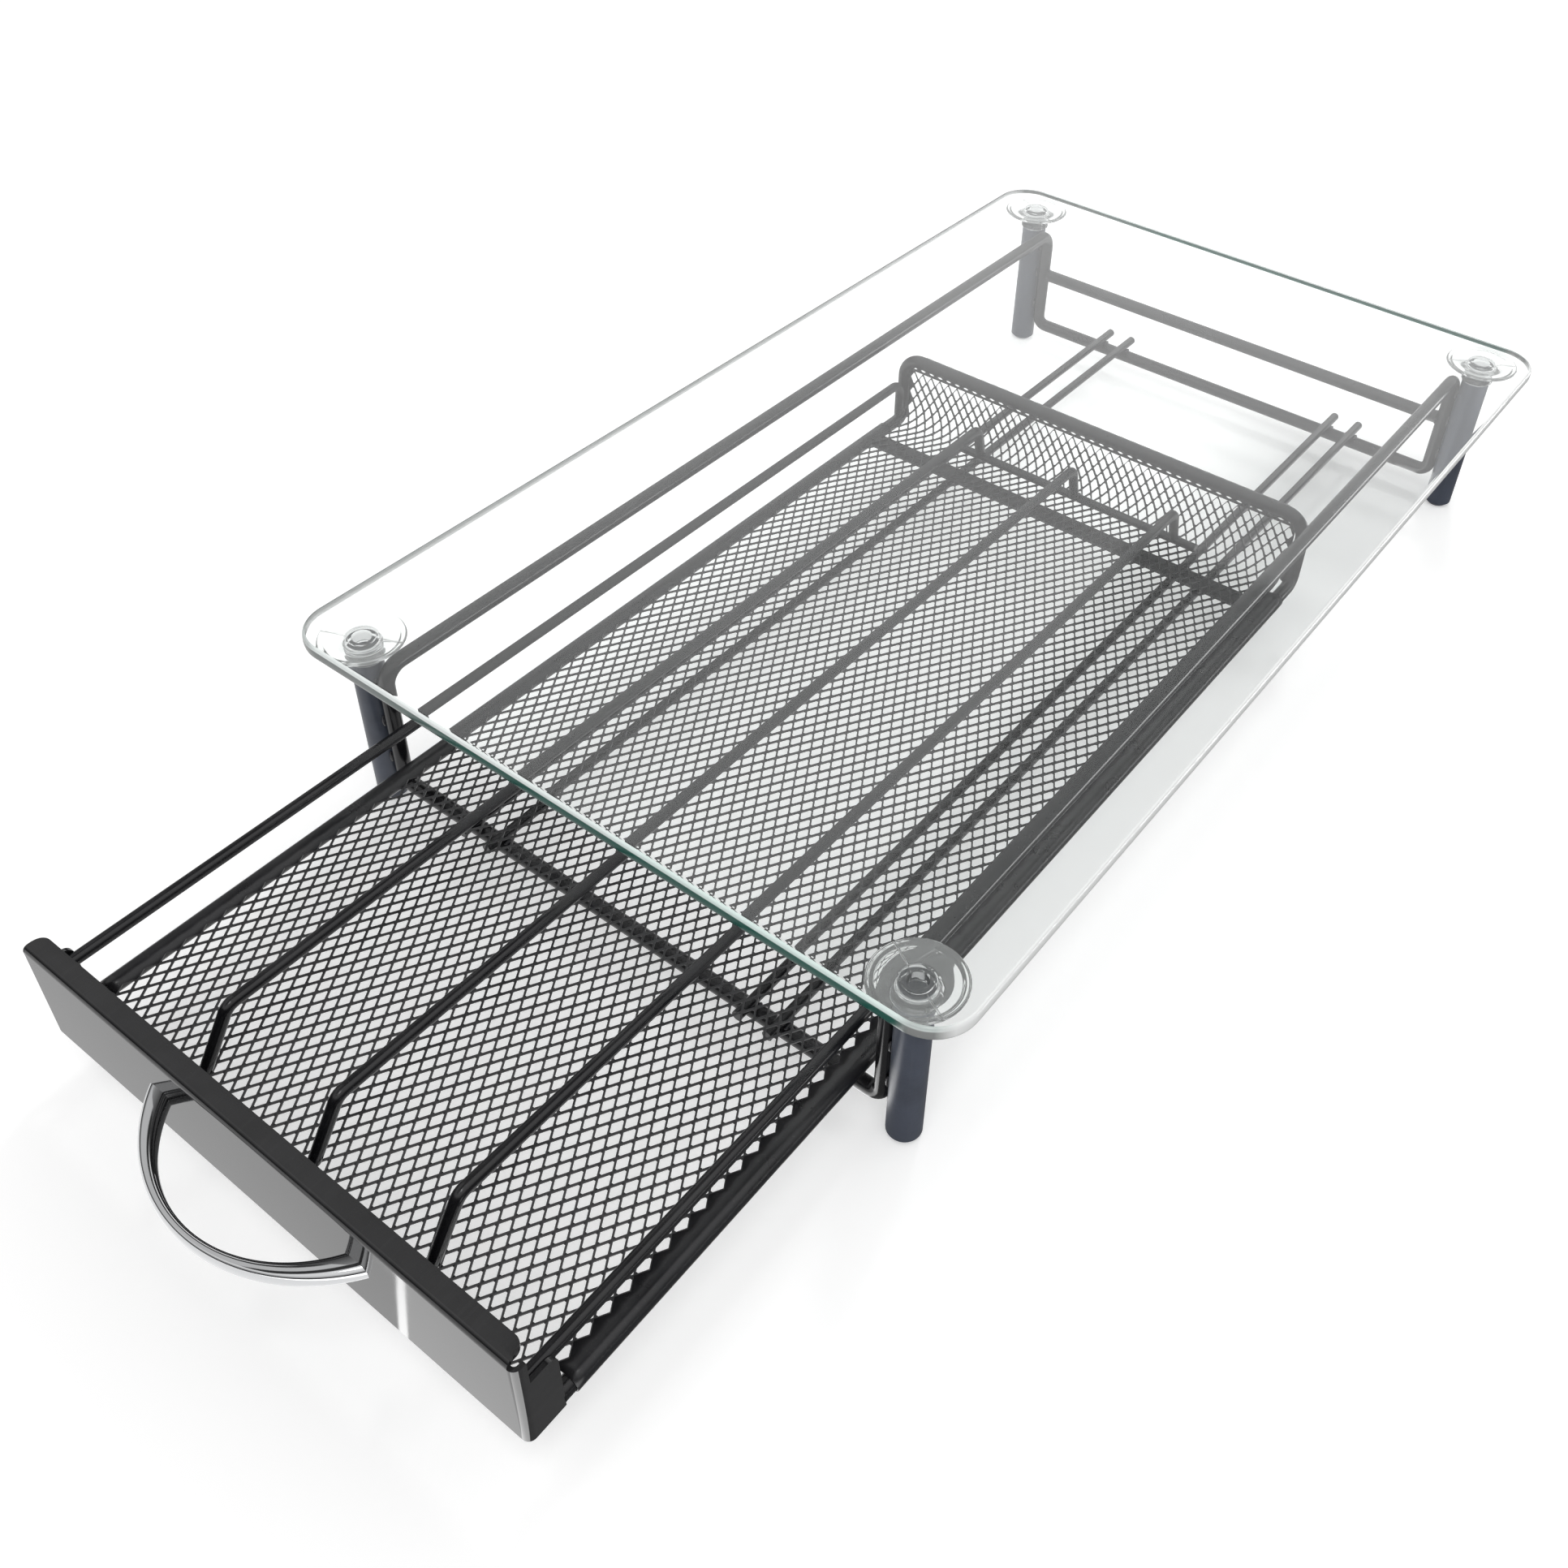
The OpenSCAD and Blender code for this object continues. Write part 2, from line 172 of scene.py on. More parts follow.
def put(name: str, shell: Shell, material: Material, body: Body,
        smooth_deg: float = 35.0, thickness: float = 0.0) -> Object:
    """Puts a shell into the scene as a piece that rides on a body.

    Args:
        name: the piece's name.
        shell: its surface, in millimetres.
        material: its finish.
        body: the body that it rides on.
        smooth_deg: edges sharper than this stay sharp.
        thickness: wall in millimetres, half to each side, for an open sheet.

    Returns:
        The object, at the origin.
    """
    mesh = bpy.data.meshes.new(name)
    faces = [face for part in shell.faces for face in part.tolist()]
    mesh.from_pydata((shell.points * MM).tolist(), [], faces)
    bm = bmesh.new()
    bm.from_mesh(mesh)
    bmesh.ops.remove_doubles(bm, verts=bm.verts, dist=MERGE_M)
    bmesh.ops.dissolve_degenerate(bm, edges=bm.edges, dist=DEGENERATE_M)
    bmesh.ops.recalc_face_normals(bm, faces=bm.faces)
    bm.to_mesh(mesh)
    bm.free()
    mesh.materials.append(material)
    mesh.shade_smooth()
    piece = bpy.data.objects.new(name, mesh)
    bpy.context.scene.collection.objects.link(piece)
    if thickness:
        wall = piece.modifiers.new("wall", "SOLIDIFY")
        wall.thickness, wall.offset = thickness * MM, 0.0
    mesh.set_sharp_from_angle(angle=math.radians(smooth_deg))
    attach(piece, body.value)
    return piece


# ---------------------------------------------------------------- shader tools

def shade(colour: Colour, factor: float = 1.0) -> tuple[float, float, float, float]:
    """A solid colour for a colour socket, made darker or paler by a factor."""
    red, green, blue = colour
    return (factor * red, factor * green, factor * blue, 1.0)


def grey(value: float) -> tuple[float, float, float, float]:
    """A solid grey for a colour socket."""
    return (value, value, value, 1.0)


class Graph:
    """Adds nodes to a node tree and joins them."""

    def __init__(self, tree: NodeTree) -> None:
        """Keeps the tree."""
        self.tree = tree

    @staticmethod
    def cleared(owner: bpy.types.ID) -> "Graph":
        """The graph of a material or world, emptied."""
        owner.use_nodes = True
        owner.node_tree.nodes.clear()
        return Graph(owner.node_tree)

    def add(self, kind: str, inputs: dict | None = None, **settings: object) -> Node:
        """Adds a node.

        Args:
            kind: the node's type, without the word ShaderNode.
            inputs: its sockets by name or number, each a value or an output to link.
            settings: its properties.

        Returns:
            The node.
        """
        node = self.tree.nodes.new(kind if kind.startswith("Node") else "ShaderNode" + kind)
        for key, value in settings.items():
            setattr(node, key, value)
        for key, value in (inputs or {}).items():
            if isinstance(value, Socket):
                self.tree.links.new(value, node.inputs[key])
            else:
                node.inputs[key].default_value = value
        return node

    def math(self, operation: str, *values: object) -> Socket:
        """A Math node's result for the given values or sockets."""
        return self.add("Math", dict(enumerate(values)), operation=operation).outputs[0]

    def times(self, first: object, *others: object) -> Socket:
        """A product."""
        for other in others:
            first = self.math("MULTIPLY", first, other)
        return first

    def plus(self, first: object, *others: object) -> Socket:
        """A sum."""
        for other in others:
            first = self.math("ADD", first, other)
        return first

    def minus(self, first: object, second: object) -> Socket:
        """A difference."""
        return self.math("SUBTRACT", first, second)

    def unsigned(self, value: object) -> Socket:
        """A value without its sign."""
        return self.math("ABSOLUTE", value)

    def mix(self, factor: object, first: object, second: object) -> Socket:
        """A colour between first and second by factor."""
        return self.add("Mix", {0: factor, 6: first, 7: second}, data_type="RGBA").outputs[2]

    def choose(self, factor: object, first: Socket, second: Socket) -> Socket:
        """A shader between first and second by factor."""
        return self.add("MixShader", {0: factor, 1: first, 2: second}).outputs[0]

    def spread(self, value: object, low: float, high: float, to_low: float,
               to_high: float) -> Socket:
        """A value taken from one range to another, held at its ends."""
        return self.add("MapRange", {0: value, 1: low, 2: high, 3: to_low, 4: to_high}).outputs[0]

    def rise(self, value: object, low: float, high: float) -> Socket:
        """0 below low and 1 above high."""
        return self.spread(value, low, high, 0.0, 1.0)

    def fall(self, value: object, low: float, high: float) -> Socket:
        """1 below low and 0 above high."""
        return self.spread(value, low, high, 1.0, 0.0)

    def noise(self, vector: object, scale: object, detail: float,
              roughness: float = 0.5) -> Socket:
        """A noise pattern's value."""
        return self.add("TexNoise", {"Vector": vector, "Scale": scale, "Detail": detail,
                                     "Roughness": roughness}).outputs[0]

    def spot(self) -> Socket:
        """Object coordinates."""
        return self.add("TexCoord").outputs["Object"]

    def axes(self, vector: object) -> list[Socket]:
        """A vector's X, Y and Z."""
        return list(self.add("SeparateXYZ", {0: vector}).outputs)

    def bump(self, height: object, distance: float, strength: float = 1.0) -> Socket:
        """A normal bent by a height from 0 to 1, whose full size is the distance in metres."""
        return self.add("Bump", {"Strength": strength, "Distance": distance,
                                 "Height": height}).outputs[0]

    def place(self, tree: NodeTree, **inputs: object) -> bpy.types.NodeOutputs:
        """Puts a node group in with its own values, and gives its outputs."""
        return self.add("Group", inputs, node_tree=tree).outputs


class EffectGraph(Graph):
    """The graph of a shader node group, with named inputs and outputs."""

    def __init__(self, name: str, inputs: dict[str, tuple[str, object]], *outputs: str) -> None:
        """Starts the group.

        Args:
            name: the group's name.
            inputs: socket name to its type (Float or Vector) and first value.
            outputs: names of its results, each from 0 to 1.
        """
        super().__init__(bpy.data.node_groups.new(name, "ShaderNodeTree"))
        for label, (kind, value) in inputs.items():
            socket = self.tree.interface.new_socket(label, in_out="INPUT",
                                                    socket_type="NodeSocket" + kind)
            if value is not None:
                socket.default_value = value
        for label in outputs:
            self.tree.interface.new_socket(label, in_out="OUTPUT", socket_type="NodeSocketFloat")
        self.given = self.add("NodeGroupInput").outputs
        self.result = self.add("NodeGroupOutput").inputs

    def give(self, label: str, value: Socket) -> None:
        """Leads a value to one of the group's outputs."""
        self.tree.links.new(value, self.result[label])


def coat_grain() -> NodeTree:
    """Orange peel of a sprayed coat: two sizes of noise.

    Returns:
        A group with Vector and Scale in, and Height and Spread out.
    """
    g = EffectGraph("coat_grain", {"Vector": ("Vector", None), "Scale": ("Float", 900.0)},
                    "Height", "Spread")
    vector, scale = g.given["Vector"], g.given["Scale"]
    broad = g.noise(vector, g.times(scale, 0.06), detail=3.0, roughness=0.6)
    g.give("Height", g.noise(vector, scale, detail=2.0, roughness=0.55))
    g.give("Spread", g.rise(broad, 0.3, 0.7))
    return g.tree


def settled_dust() -> NodeTree:
    """Dust that lies on faces that look up, in patches and as single specks.

    Returns:
        A group with Vector and Amount in, and Mask out.
    """
    g = EffectGraph("settled_dust", {"Vector": ("Vector", None), "Amount": ("Float", 0.2)},
                    "Mask")
    vector = g.given["Vector"]
    _, _, upward = g.axes(g.add("NewGeometry").outputs["Normal"])
    patch = g.spread(g.noise(vector, scale=55.0, detail=4.0), 0.35, 0.75, 0.15, 1.0)
    speck = g.rise(g.noise(vector, scale=1500.0, detail=1.0), 0.66, 0.74)
    both = g.plus(g.times(patch, 0.6), g.times(speck, 0.5))
    g.give("Mask", g.times(both, g.rise(upward, 0.2, 1.0), g.given["Amount"]))
    return g.tree


def fine_scuffs() -> NodeTree:
    """Hairline rubbing marks, long in one direction.

    Returns:
        A group with Vector, Stretch and Scale in, and Mask out.
    """
    g = EffectGraph("fine_scuffs", {"Vector": ("Vector", None), "Scale": ("Float", 300.0),
                                    "Stretch": ("Vector", (1.0, 1.0, 1.0))}, "Mask")
    along = g.add("VectorMath", {0: g.given["Vector"], 1: g.given["Stretch"]},
                  operation="MULTIPLY").outputs[0]
    marks = g.noise(along, g.given["Scale"], detail=5.0, roughness=0.7)
    g.give("Mask", g.rise(marks, 0.52, 0.78))
    return g.tree


class Effects:
    """The shader node groups that the finishes share, each built once."""

    def __init__(self) -> None:
        """Builds the groups."""
        self.grain = coat_grain()
        self.dust = settled_dust()
        self.scuffs = fine_scuffs()


# ---------------------------------------------------------------- finishes


@dataclass(frozen=True)
class Finish:
    """A finish with one Principled shader, fed by what each kind of finish works out."""

    name: str

    def inputs(self, g: Graph, effects: Effects) -> dict[str, object]:
        """The shader's inputs by name: values, colours and sockets."""
        raise NotImplementedError

    def shadow_tint(self) -> Colour | None:
        """Colour of a clear material, or None where light doesn't pass."""
        return None

    def build(self, effects: Effects) -> Material:
        """Makes the material.

        Shadow rays pass a clear one with a faint tint, the square root of its
        colour, instead of stopping in it.

        Args:
            effects: the shared node groups.

        Returns:
            The material.
        """
        material = bpy.data.materials.new(self.name)
        g = Graph.cleared(material)
        surface = g.add("BsdfPrincipled", self.inputs(g, effects)).outputs[0]
        tint = self.shadow_tint()
        if tint:
            film = g.add("BsdfTransparent", {0: shade(tuple(c ** 0.5 for c in tint))})
            surface = g.choose(g.add("LightPath").outputs["Is Shadow Ray"], surface,
                               film.outputs[0])
        g.add("OutputMaterial", {0: surface})
        return material


@dataclass(frozen=True)
class CoatedMetal(Finish):
    """A black sprayed coat on wire or sheet."""

    colour: Colour
    rough: float
    rough_spread: float
    grain_scale: float
    grain_height: float
    dust: float
    scuff: float = 0.0
    stretch: Triple = (1.0, 0.03, 1.0)
    scuff_scale: float = 420.0
    scuff_colour: Colour = (0.16, 0.16, 0.165)
    dust_colour: Colour = (0.42, 0.41, 0.39)

    def inputs(self, g: Graph, effects: Effects) -> dict[str, object]:
        """Grain in the bump, dust and scuffs in colour and roughness.

        Args:
            g: the material's graph.
            effects: the shared node groups.

        Returns:
            The shader's inputs by name.
        """
        spot = g.spot()
        grain = g.place(effects.grain, Vector=spot, Scale=self.grain_scale)
        dust = g.place(effects.dust, Vector=spot, Amount=self.dust)["Mask"]
        scuffs = g.place(effects.scuffs, Vector=spot, Stretch=self.stretch,
                         Scale=self.scuff_scale)["Mask"]
        worn = g.times(scuffs, self.scuff)
        base = g.mix(grain["Spread"], shade(self.colour, 0.8), shade(self.colour, 1.25))
        base = g.mix(dust, g.mix(worn, base, shade(self.scuff_colour)), shade(self.dust_colour))
        rough = g.spread(grain["Spread"], 0.0, 1.0, self.rough - self.rough_spread,
                         self.rough + self.rough_spread)
        return {"Base Color": base,
                "Roughness": g.plus(rough, g.times(worn, 0.25), g.times(dust, 0.5)),
                "Normal": g.bump(grain["Height"], self.grain_height * MM)}


@dataclass(frozen=True)
class PolishedMetal(Finish):
    """Chrome plate over a polished casting."""

    colour: Colour = (0.63, 0.635, 0.645)
    dust_colour: Colour = (0.5, 0.5, 0.5)
    dust: float = 0.12
    rough: float = 0.07
    grain_scale: float = 260.0
    grain_height: float = 0.004
    line_scale: float = 1600.0
    stretch: Triple = (0.05, 0.05, 1.0)

    def inputs(self, g: Graph, effects: Effects) -> dict[str, object]:
        """Faint polishing lines along the arch, and dust on top.

        Args:
            g: the material's graph.
            effects: the shared node groups.

        Returns:
            The shader's inputs by name.
        """
        spot = g.spot()
        lines = g.place(effects.scuffs, Vector=spot, Stretch=self.stretch,
                        Scale=self.line_scale)["Mask"]
        dust = g.place(effects.dust, Vector=spot, Amount=self.dust)["Mask"]
        grain = g.place(effects.grain, Vector=spot, Scale=self.grain_scale)
        base = g.mix(grain["Spread"], shade(self.colour), shade(self.colour, 0.9))
        return {"Base Color": g.mix(dust, base, shade(self.dust_colour)), "Metallic": 1.0,
                "Roughness": g.spread(lines, 0.0, 1.0, self.rough, self.rough + 0.1),
                "Normal": g.bump(grain["Height"], self.grain_height * MM)}


@dataclass(frozen=True)
class ClearStuff(Finish):
    """Glass or clear plastic that lets light through to what is under it."""

    colour: Colour
    ior: float
    rough: float
    smear: float
    through: float = 1.0
    mould_line: bool = False
    line_colour: Colour = (1.0, 1.0, 1.0)
    line_height: float = 0.15
    # painted shade: the neck is greyed where the dark leg shows through it
    neck: Colour = (0.62, 0.63, 0.63)
    grain_scale: float = 420.0

    def shadow_tint(self) -> Colour:
        """Its own colour."""
        return self.colour

    def inputs(self, g: Graph, effects: Effects) -> dict[str, object]:
        """Smears in the roughness; with mould_line, also that line and a neck greyed as painted shade.

        Args:
            g: the material's graph.
            effects: the shared node groups.

        Returns:
            The shader's inputs by name.
        """
        spot = g.spot()
        grain = g.place(effects.grain, Vector=spot, Scale=self.grain_scale)["Spread"]
        smear = g.place(effects.dust, Vector=spot, Amount=self.smear)["Mask"]
        base = g.mix(smear, shade(self.colour), shade(self.colour, 0.93))
        rough = g.spread(grain, 0.0, 1.0, self.rough, self.rough + 0.012)
        given = {"Transmission Weight": self.through, "IOR": self.ior}
        if self.mould_line:
            line, neck = parting_line(g, spot)
            # painted shade greys the neck
            base = g.mix(neck, g.mix(line, base, shade(self.line_colour)), shade(self.neck))
            rough = g.plus(rough, g.times(line, 0.35))
            given["Normal"] = g.bump(line, self.line_height * MM)
        return given | {"Base Color": base, "Roughness": rough}


@dataclass(frozen=True)
class GroundEdge(Finish):
    """The ground and polished edge of float glass: a painted highlight above; below, its own sea green
    painted darker as shade, greyer towards the left.

    Ranges are in metres: a colour turns into the next one over each of them.
    """

    # colours of the painted highlight on the upper part, pale to greenish by noise
    upper: Colour = (0.95, 1.0, 0.985)
    tint: Colour = (0.78, 0.95, 0.9)
    # the glass's own green, painted darker as shade
    lower: Colour = (0.015, 0.11, 0.085)
    dull: Colour = (0.22, 0.24, 0.235)
    beside: Colour = (0.97, 0.98, 0.975)
    corner: Colour = (0.3, 0.31, 0.305)
    back_line: Colour = (0.07, 0.08, 0.078)
    dull_x: Range = (-0.085, -0.045)
    corner_x: Range = (0.103, 0.107)
    side_x: Range = (0.1125, 0.116)
    split_y: Range = (-0.1, 0.1)
    split_z: Range = (0.065, 0.0636)
    split_soft: Range = (-0.00015, 0.00015)
    line_x: Range = (-0.1, -0.09)
    line_y: Range = (0.0, 0.15)
    line_z: Range = (0.0654, 0.0647)
    line_soft: Range = (0.0, 0.0003)
    through: float = 0.06
    ior: float = 1.5
    rough: float = 0.15
    mark_scale: float = 260.0
    mark_height: float = 0.02
    mark_stretch: Triple = (1.0, 1.0, 12.0)

    def shadow_tint(self) -> Colour:
        """The colour of the plate's sides."""
        return self.beside

    def inputs(self, g: Graph, effects: Effects) -> dict[str, object]:
        """A painted highlight on the upper part, the lower part painted darker as shade, and grinding
        marks.

        The lower part is dull towards the left and grey at the corners, and a
        dull line, darker towards the back, runs along the left edge's upper side.

        Args:
            g: the material's graph.
            effects: the shared node groups.

        Returns:
            The shader's inputs by name.
        """
        spot = g.spot()
        x, y, z = g.axes(spot)
        marks = g.place(effects.scuffs, Vector=spot, Stretch=self.mark_stretch,
                        Scale=self.mark_scale)["Mask"]
        broad = g.noise(spot, scale=9.0, detail=2.0)
        # painted highlight on the upper part; below it, the part painted darker as shade
        pale = g.mix(g.spread(broad, 0.4, 0.62, 0.0, 0.8), shade(self.upper), shade(self.tint))
        above = g.rise(g.minus(z, g.spread(y, *self.split_y, *self.split_z)), *self.split_soft)
        below = g.mix(g.rise(x, *self.dull_x), shade(self.dull), shade(self.lower))
        turn = g.rise(g.unsigned(x), *self.corner_x)
        below = g.mix(turn, below, shade(self.corner))
        pale = g.mix(g.times(turn, 0.5), pale, shade(self.corner))
        side = g.spread(g.unsigned(x), *self.side_x, 0.0, 0.95)
        line = g.times(g.fall(x, *self.line_x),
                       g.rise(g.minus(z, g.spread(y, *self.line_y, *self.line_z)),
                              *self.line_soft))
        tone = g.mix(g.rise(y, *self.line_y), shade(self.dull), shade(self.back_line))
        base = g.mix(side, g.mix(above, below, pale), g.mix(line, shade(self.beside), tone))
        return {"Base Color": base, "Transmission Weight": self.through, "IOR": self.ior,
                "Roughness": g.spread(marks, 0.0, 1.0, self.rough, self.rough + 0.25),
                "Normal": g.bump(marks, self.mark_height * MM, strength=0.6)}


def parting_line(g: Graph, spot: Socket) -> tuple[Socket, Socket]:
    """A straight hairline across each pad, through its middle but not over its neck.

    With u = |x| - 100 mm and v = |y| - 186 mm, the distance to the line is
    |0.458 u - 0.889 v|.

    Args:
        g: the material's graph.
        spot: Object coordinates.

    Returns:
        The masks of the line and of the neck's painted shade, 0 to 1.
    """
    x, y, _ = g.axes(spot)
    u = g.minus(g.unsigned(x), 0.1)
    v = g.minus(g.unsigned(y), 0.186)
    away = g.unsigned(g.minus(g.times(u, 0.458), g.times(v, 0.889)))
    radius = g.math("SQRT", g.plus(g.times(u, u), g.times(v, v)))
    line = g.times(g.fall(away, 0.00008, 0.00022), g.rise(radius, 0.0046, 0.0049))
    return line, g.fall(radius, 0.0049, 0.0053)


# ---------------------------------------------------------------- sub-assemblies


@dataclass
class GlassPlate:
    """The shelf: a clear plate with round corners and rounded edges, in millimetres."""

    finish: Material
    edge_finish: Material
    width: float = 236.0
    length: float = 400.0
    corner: float = 13.5
    low: float = 61.5
    thick: float = 4.5
    edge_depth: float = 1.1
    edge_square: float = 2.6
    flat: float = 0.6
    edge_steps: int = 13
    corner_steps: int = 28
    upright: float = 0.999

    def outline(self, inset: float, z: float) -> np.ndarray:
        """The plate's edge, moved in: four straight sides and four quarter circles.

        Args:
            inset: how far it is moved in.
            z: its height.

        Returns:
            (n, 3) points, anticlockwise.
        """
        quarter = np.linspace(0, np.pi / 2, self.corner_steps)
        far_x, far_y = self.width / 2 - self.corner, self.length / 2 - self.corner
        corners = [(far_x, far_y), (-far_x, far_y), (-far_x, -far_y), (far_x, -far_y)]
        flat = np.concatenate([ring(quarter + turn * np.pi / 2, self.corner - inset, centre)
                               for turn, centre in enumerate(corners)])
        return np.column_stack([flat, np.full(len(flat), z)])

    def build(self) -> list[Object]:
        """Rings of the outline from the bottom face round the edge to the top face.

        At the angle a, from -90 to 90 degrees, a ring is moved in by depth *
        (1 - cos a) and stands at half the thickness * sin a over the middle,
        with cos a and sin a each raised to 2 / square. A flat ring inside them
        keeps both faces flat.

        Returns:
            The plate.
        """
        angles = np.linspace(-np.pi / 2, np.pi / 2, self.edge_steps)
        power = 2 / self.edge_square
        insets = self.edge_depth * (1 - np.clip(np.cos(angles), 0, 1) ** power)
        rise = np.sign(angles) * np.abs(np.sin(angles)) ** power
        inside = [self.edge_depth + self.flat]
        insets = np.concatenate([inside, insets, inside])
        heights = self.low + self.thick / 2 * (1 + np.concatenate([[-1], rise, [1]]))
        rings = np.stack([self.outline(inset, z) for inset, z in zip(insets, heights)], 1)
        shell = Shell.grid(rings, wrap_u=True)
        n, m = rings.shape[:2]
        bottom = (np.arange(n)[::-1] * m)[None, :]
        cap = (np.arange(n) * m + m - 1)[None, :]
        plate = put("glass_plate", Shell(shell.points, shell.faces + [bottom, cap]),
                    self.finish, Body.FRAME, smooth_deg=30)
        self.dress_edges(plate.data)
        return [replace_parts(plate, "glass_top")]

    def dress_edges(self, mesh: bpy.types.Mesh) -> None:
        """Gives the faces that don't look straight up or down the ground edge's finish.

        Args:
            mesh: the plate's mesh.
        """
        mesh.materials.append(self.edge_finish)
        normals = np.empty(3 * len(mesh.polygons), np.float32)
        mesh.polygons.foreach_get("normal", normals)
        mesh.polygons.foreach_set("material_index", (np.abs(normals[2::3]) < self.upright).astype("i"))


@dataclass
class GlassHolders:
    """The four clear suction pads, each on a neck in its leg's upper end."""

    finish: Material
    leg_x: float = 100.0
    leg_y: float = 186.0
    low: float = 54.0
    high: float = 61.46
    disc_r: float = 13.0
    neck_r: float = 4.8
    hole_r: float = 2.9
    ring_r: float = 4.45
    hole_depth: float = 3.8
    steps: int = 96

    def profile(self) -> list[tuple[float, float]]:
        """Radius and height along the outside.

        The collar and the neck's foot are measured up from the low end, and the
        neck's top, the underside's rings, the rim, the top and the hole down from
        the high end.

        Returns:
            (r, z) pairs.
        """
        neck, hole, ridge = self.neck_r, self.hole_r, self.ring_r
        up = [(0, 0), (5.4, 0), (5.7, 0.3), (5.7, 0.7), (5.35, 1.2), (neck + 0.12, 2.2),
              (neck, 2.8)]
        down = [(neck, 2.5), (neck + 0.35, 2.1), (6.2, 1.62), (8.6, 1.22), (10.3, 1.0),
                (10.5, 1.08), (10.9, 1.1), (11.1, 0.95), (12.2, 0.86), (12.75, 0.75),
                (self.disc_r, 0.5), (12.85, 0.2), (12.5, 0.03), (12.1, 0), (11.7, 0.14),
                (11.3, 0), (9.4, 0.02), (ridge + 0.35, 0), (ridge + 0.18, 0.4),
                (ridge - 0.18, 0.4), (ridge - 0.35, 0), (hole + 0.15, 0.03), (hole, 0.2),
                (hole - 0.1, self.hole_depth - 0.25), (hole - 0.4, self.hole_depth),
                (0, self.hole_depth)]
        return [(r, self.low + z) for r, z in up] + [(r, self.high - z) for r, z in down]

    def build(self) -> list[Object]:
        """One turned pad over each leg.

        Returns:
            The four pads.
        """
        pads = []
        for front, sy in (("front", -1), ("back", 1)):
            for side in Side:
                name = f"{front}_{side.name.lower()}"
                centre = (side.value * self.leg_x, sy * self.leg_y, 0)
                pad = put(f"suction_pad_{name}", turned(self.profile(), centre, self.steps),
                          self.finish, Body.FRAME, smooth_deg=40)
                pads.append(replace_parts(pad, f"holder_{name}"))
        return pads


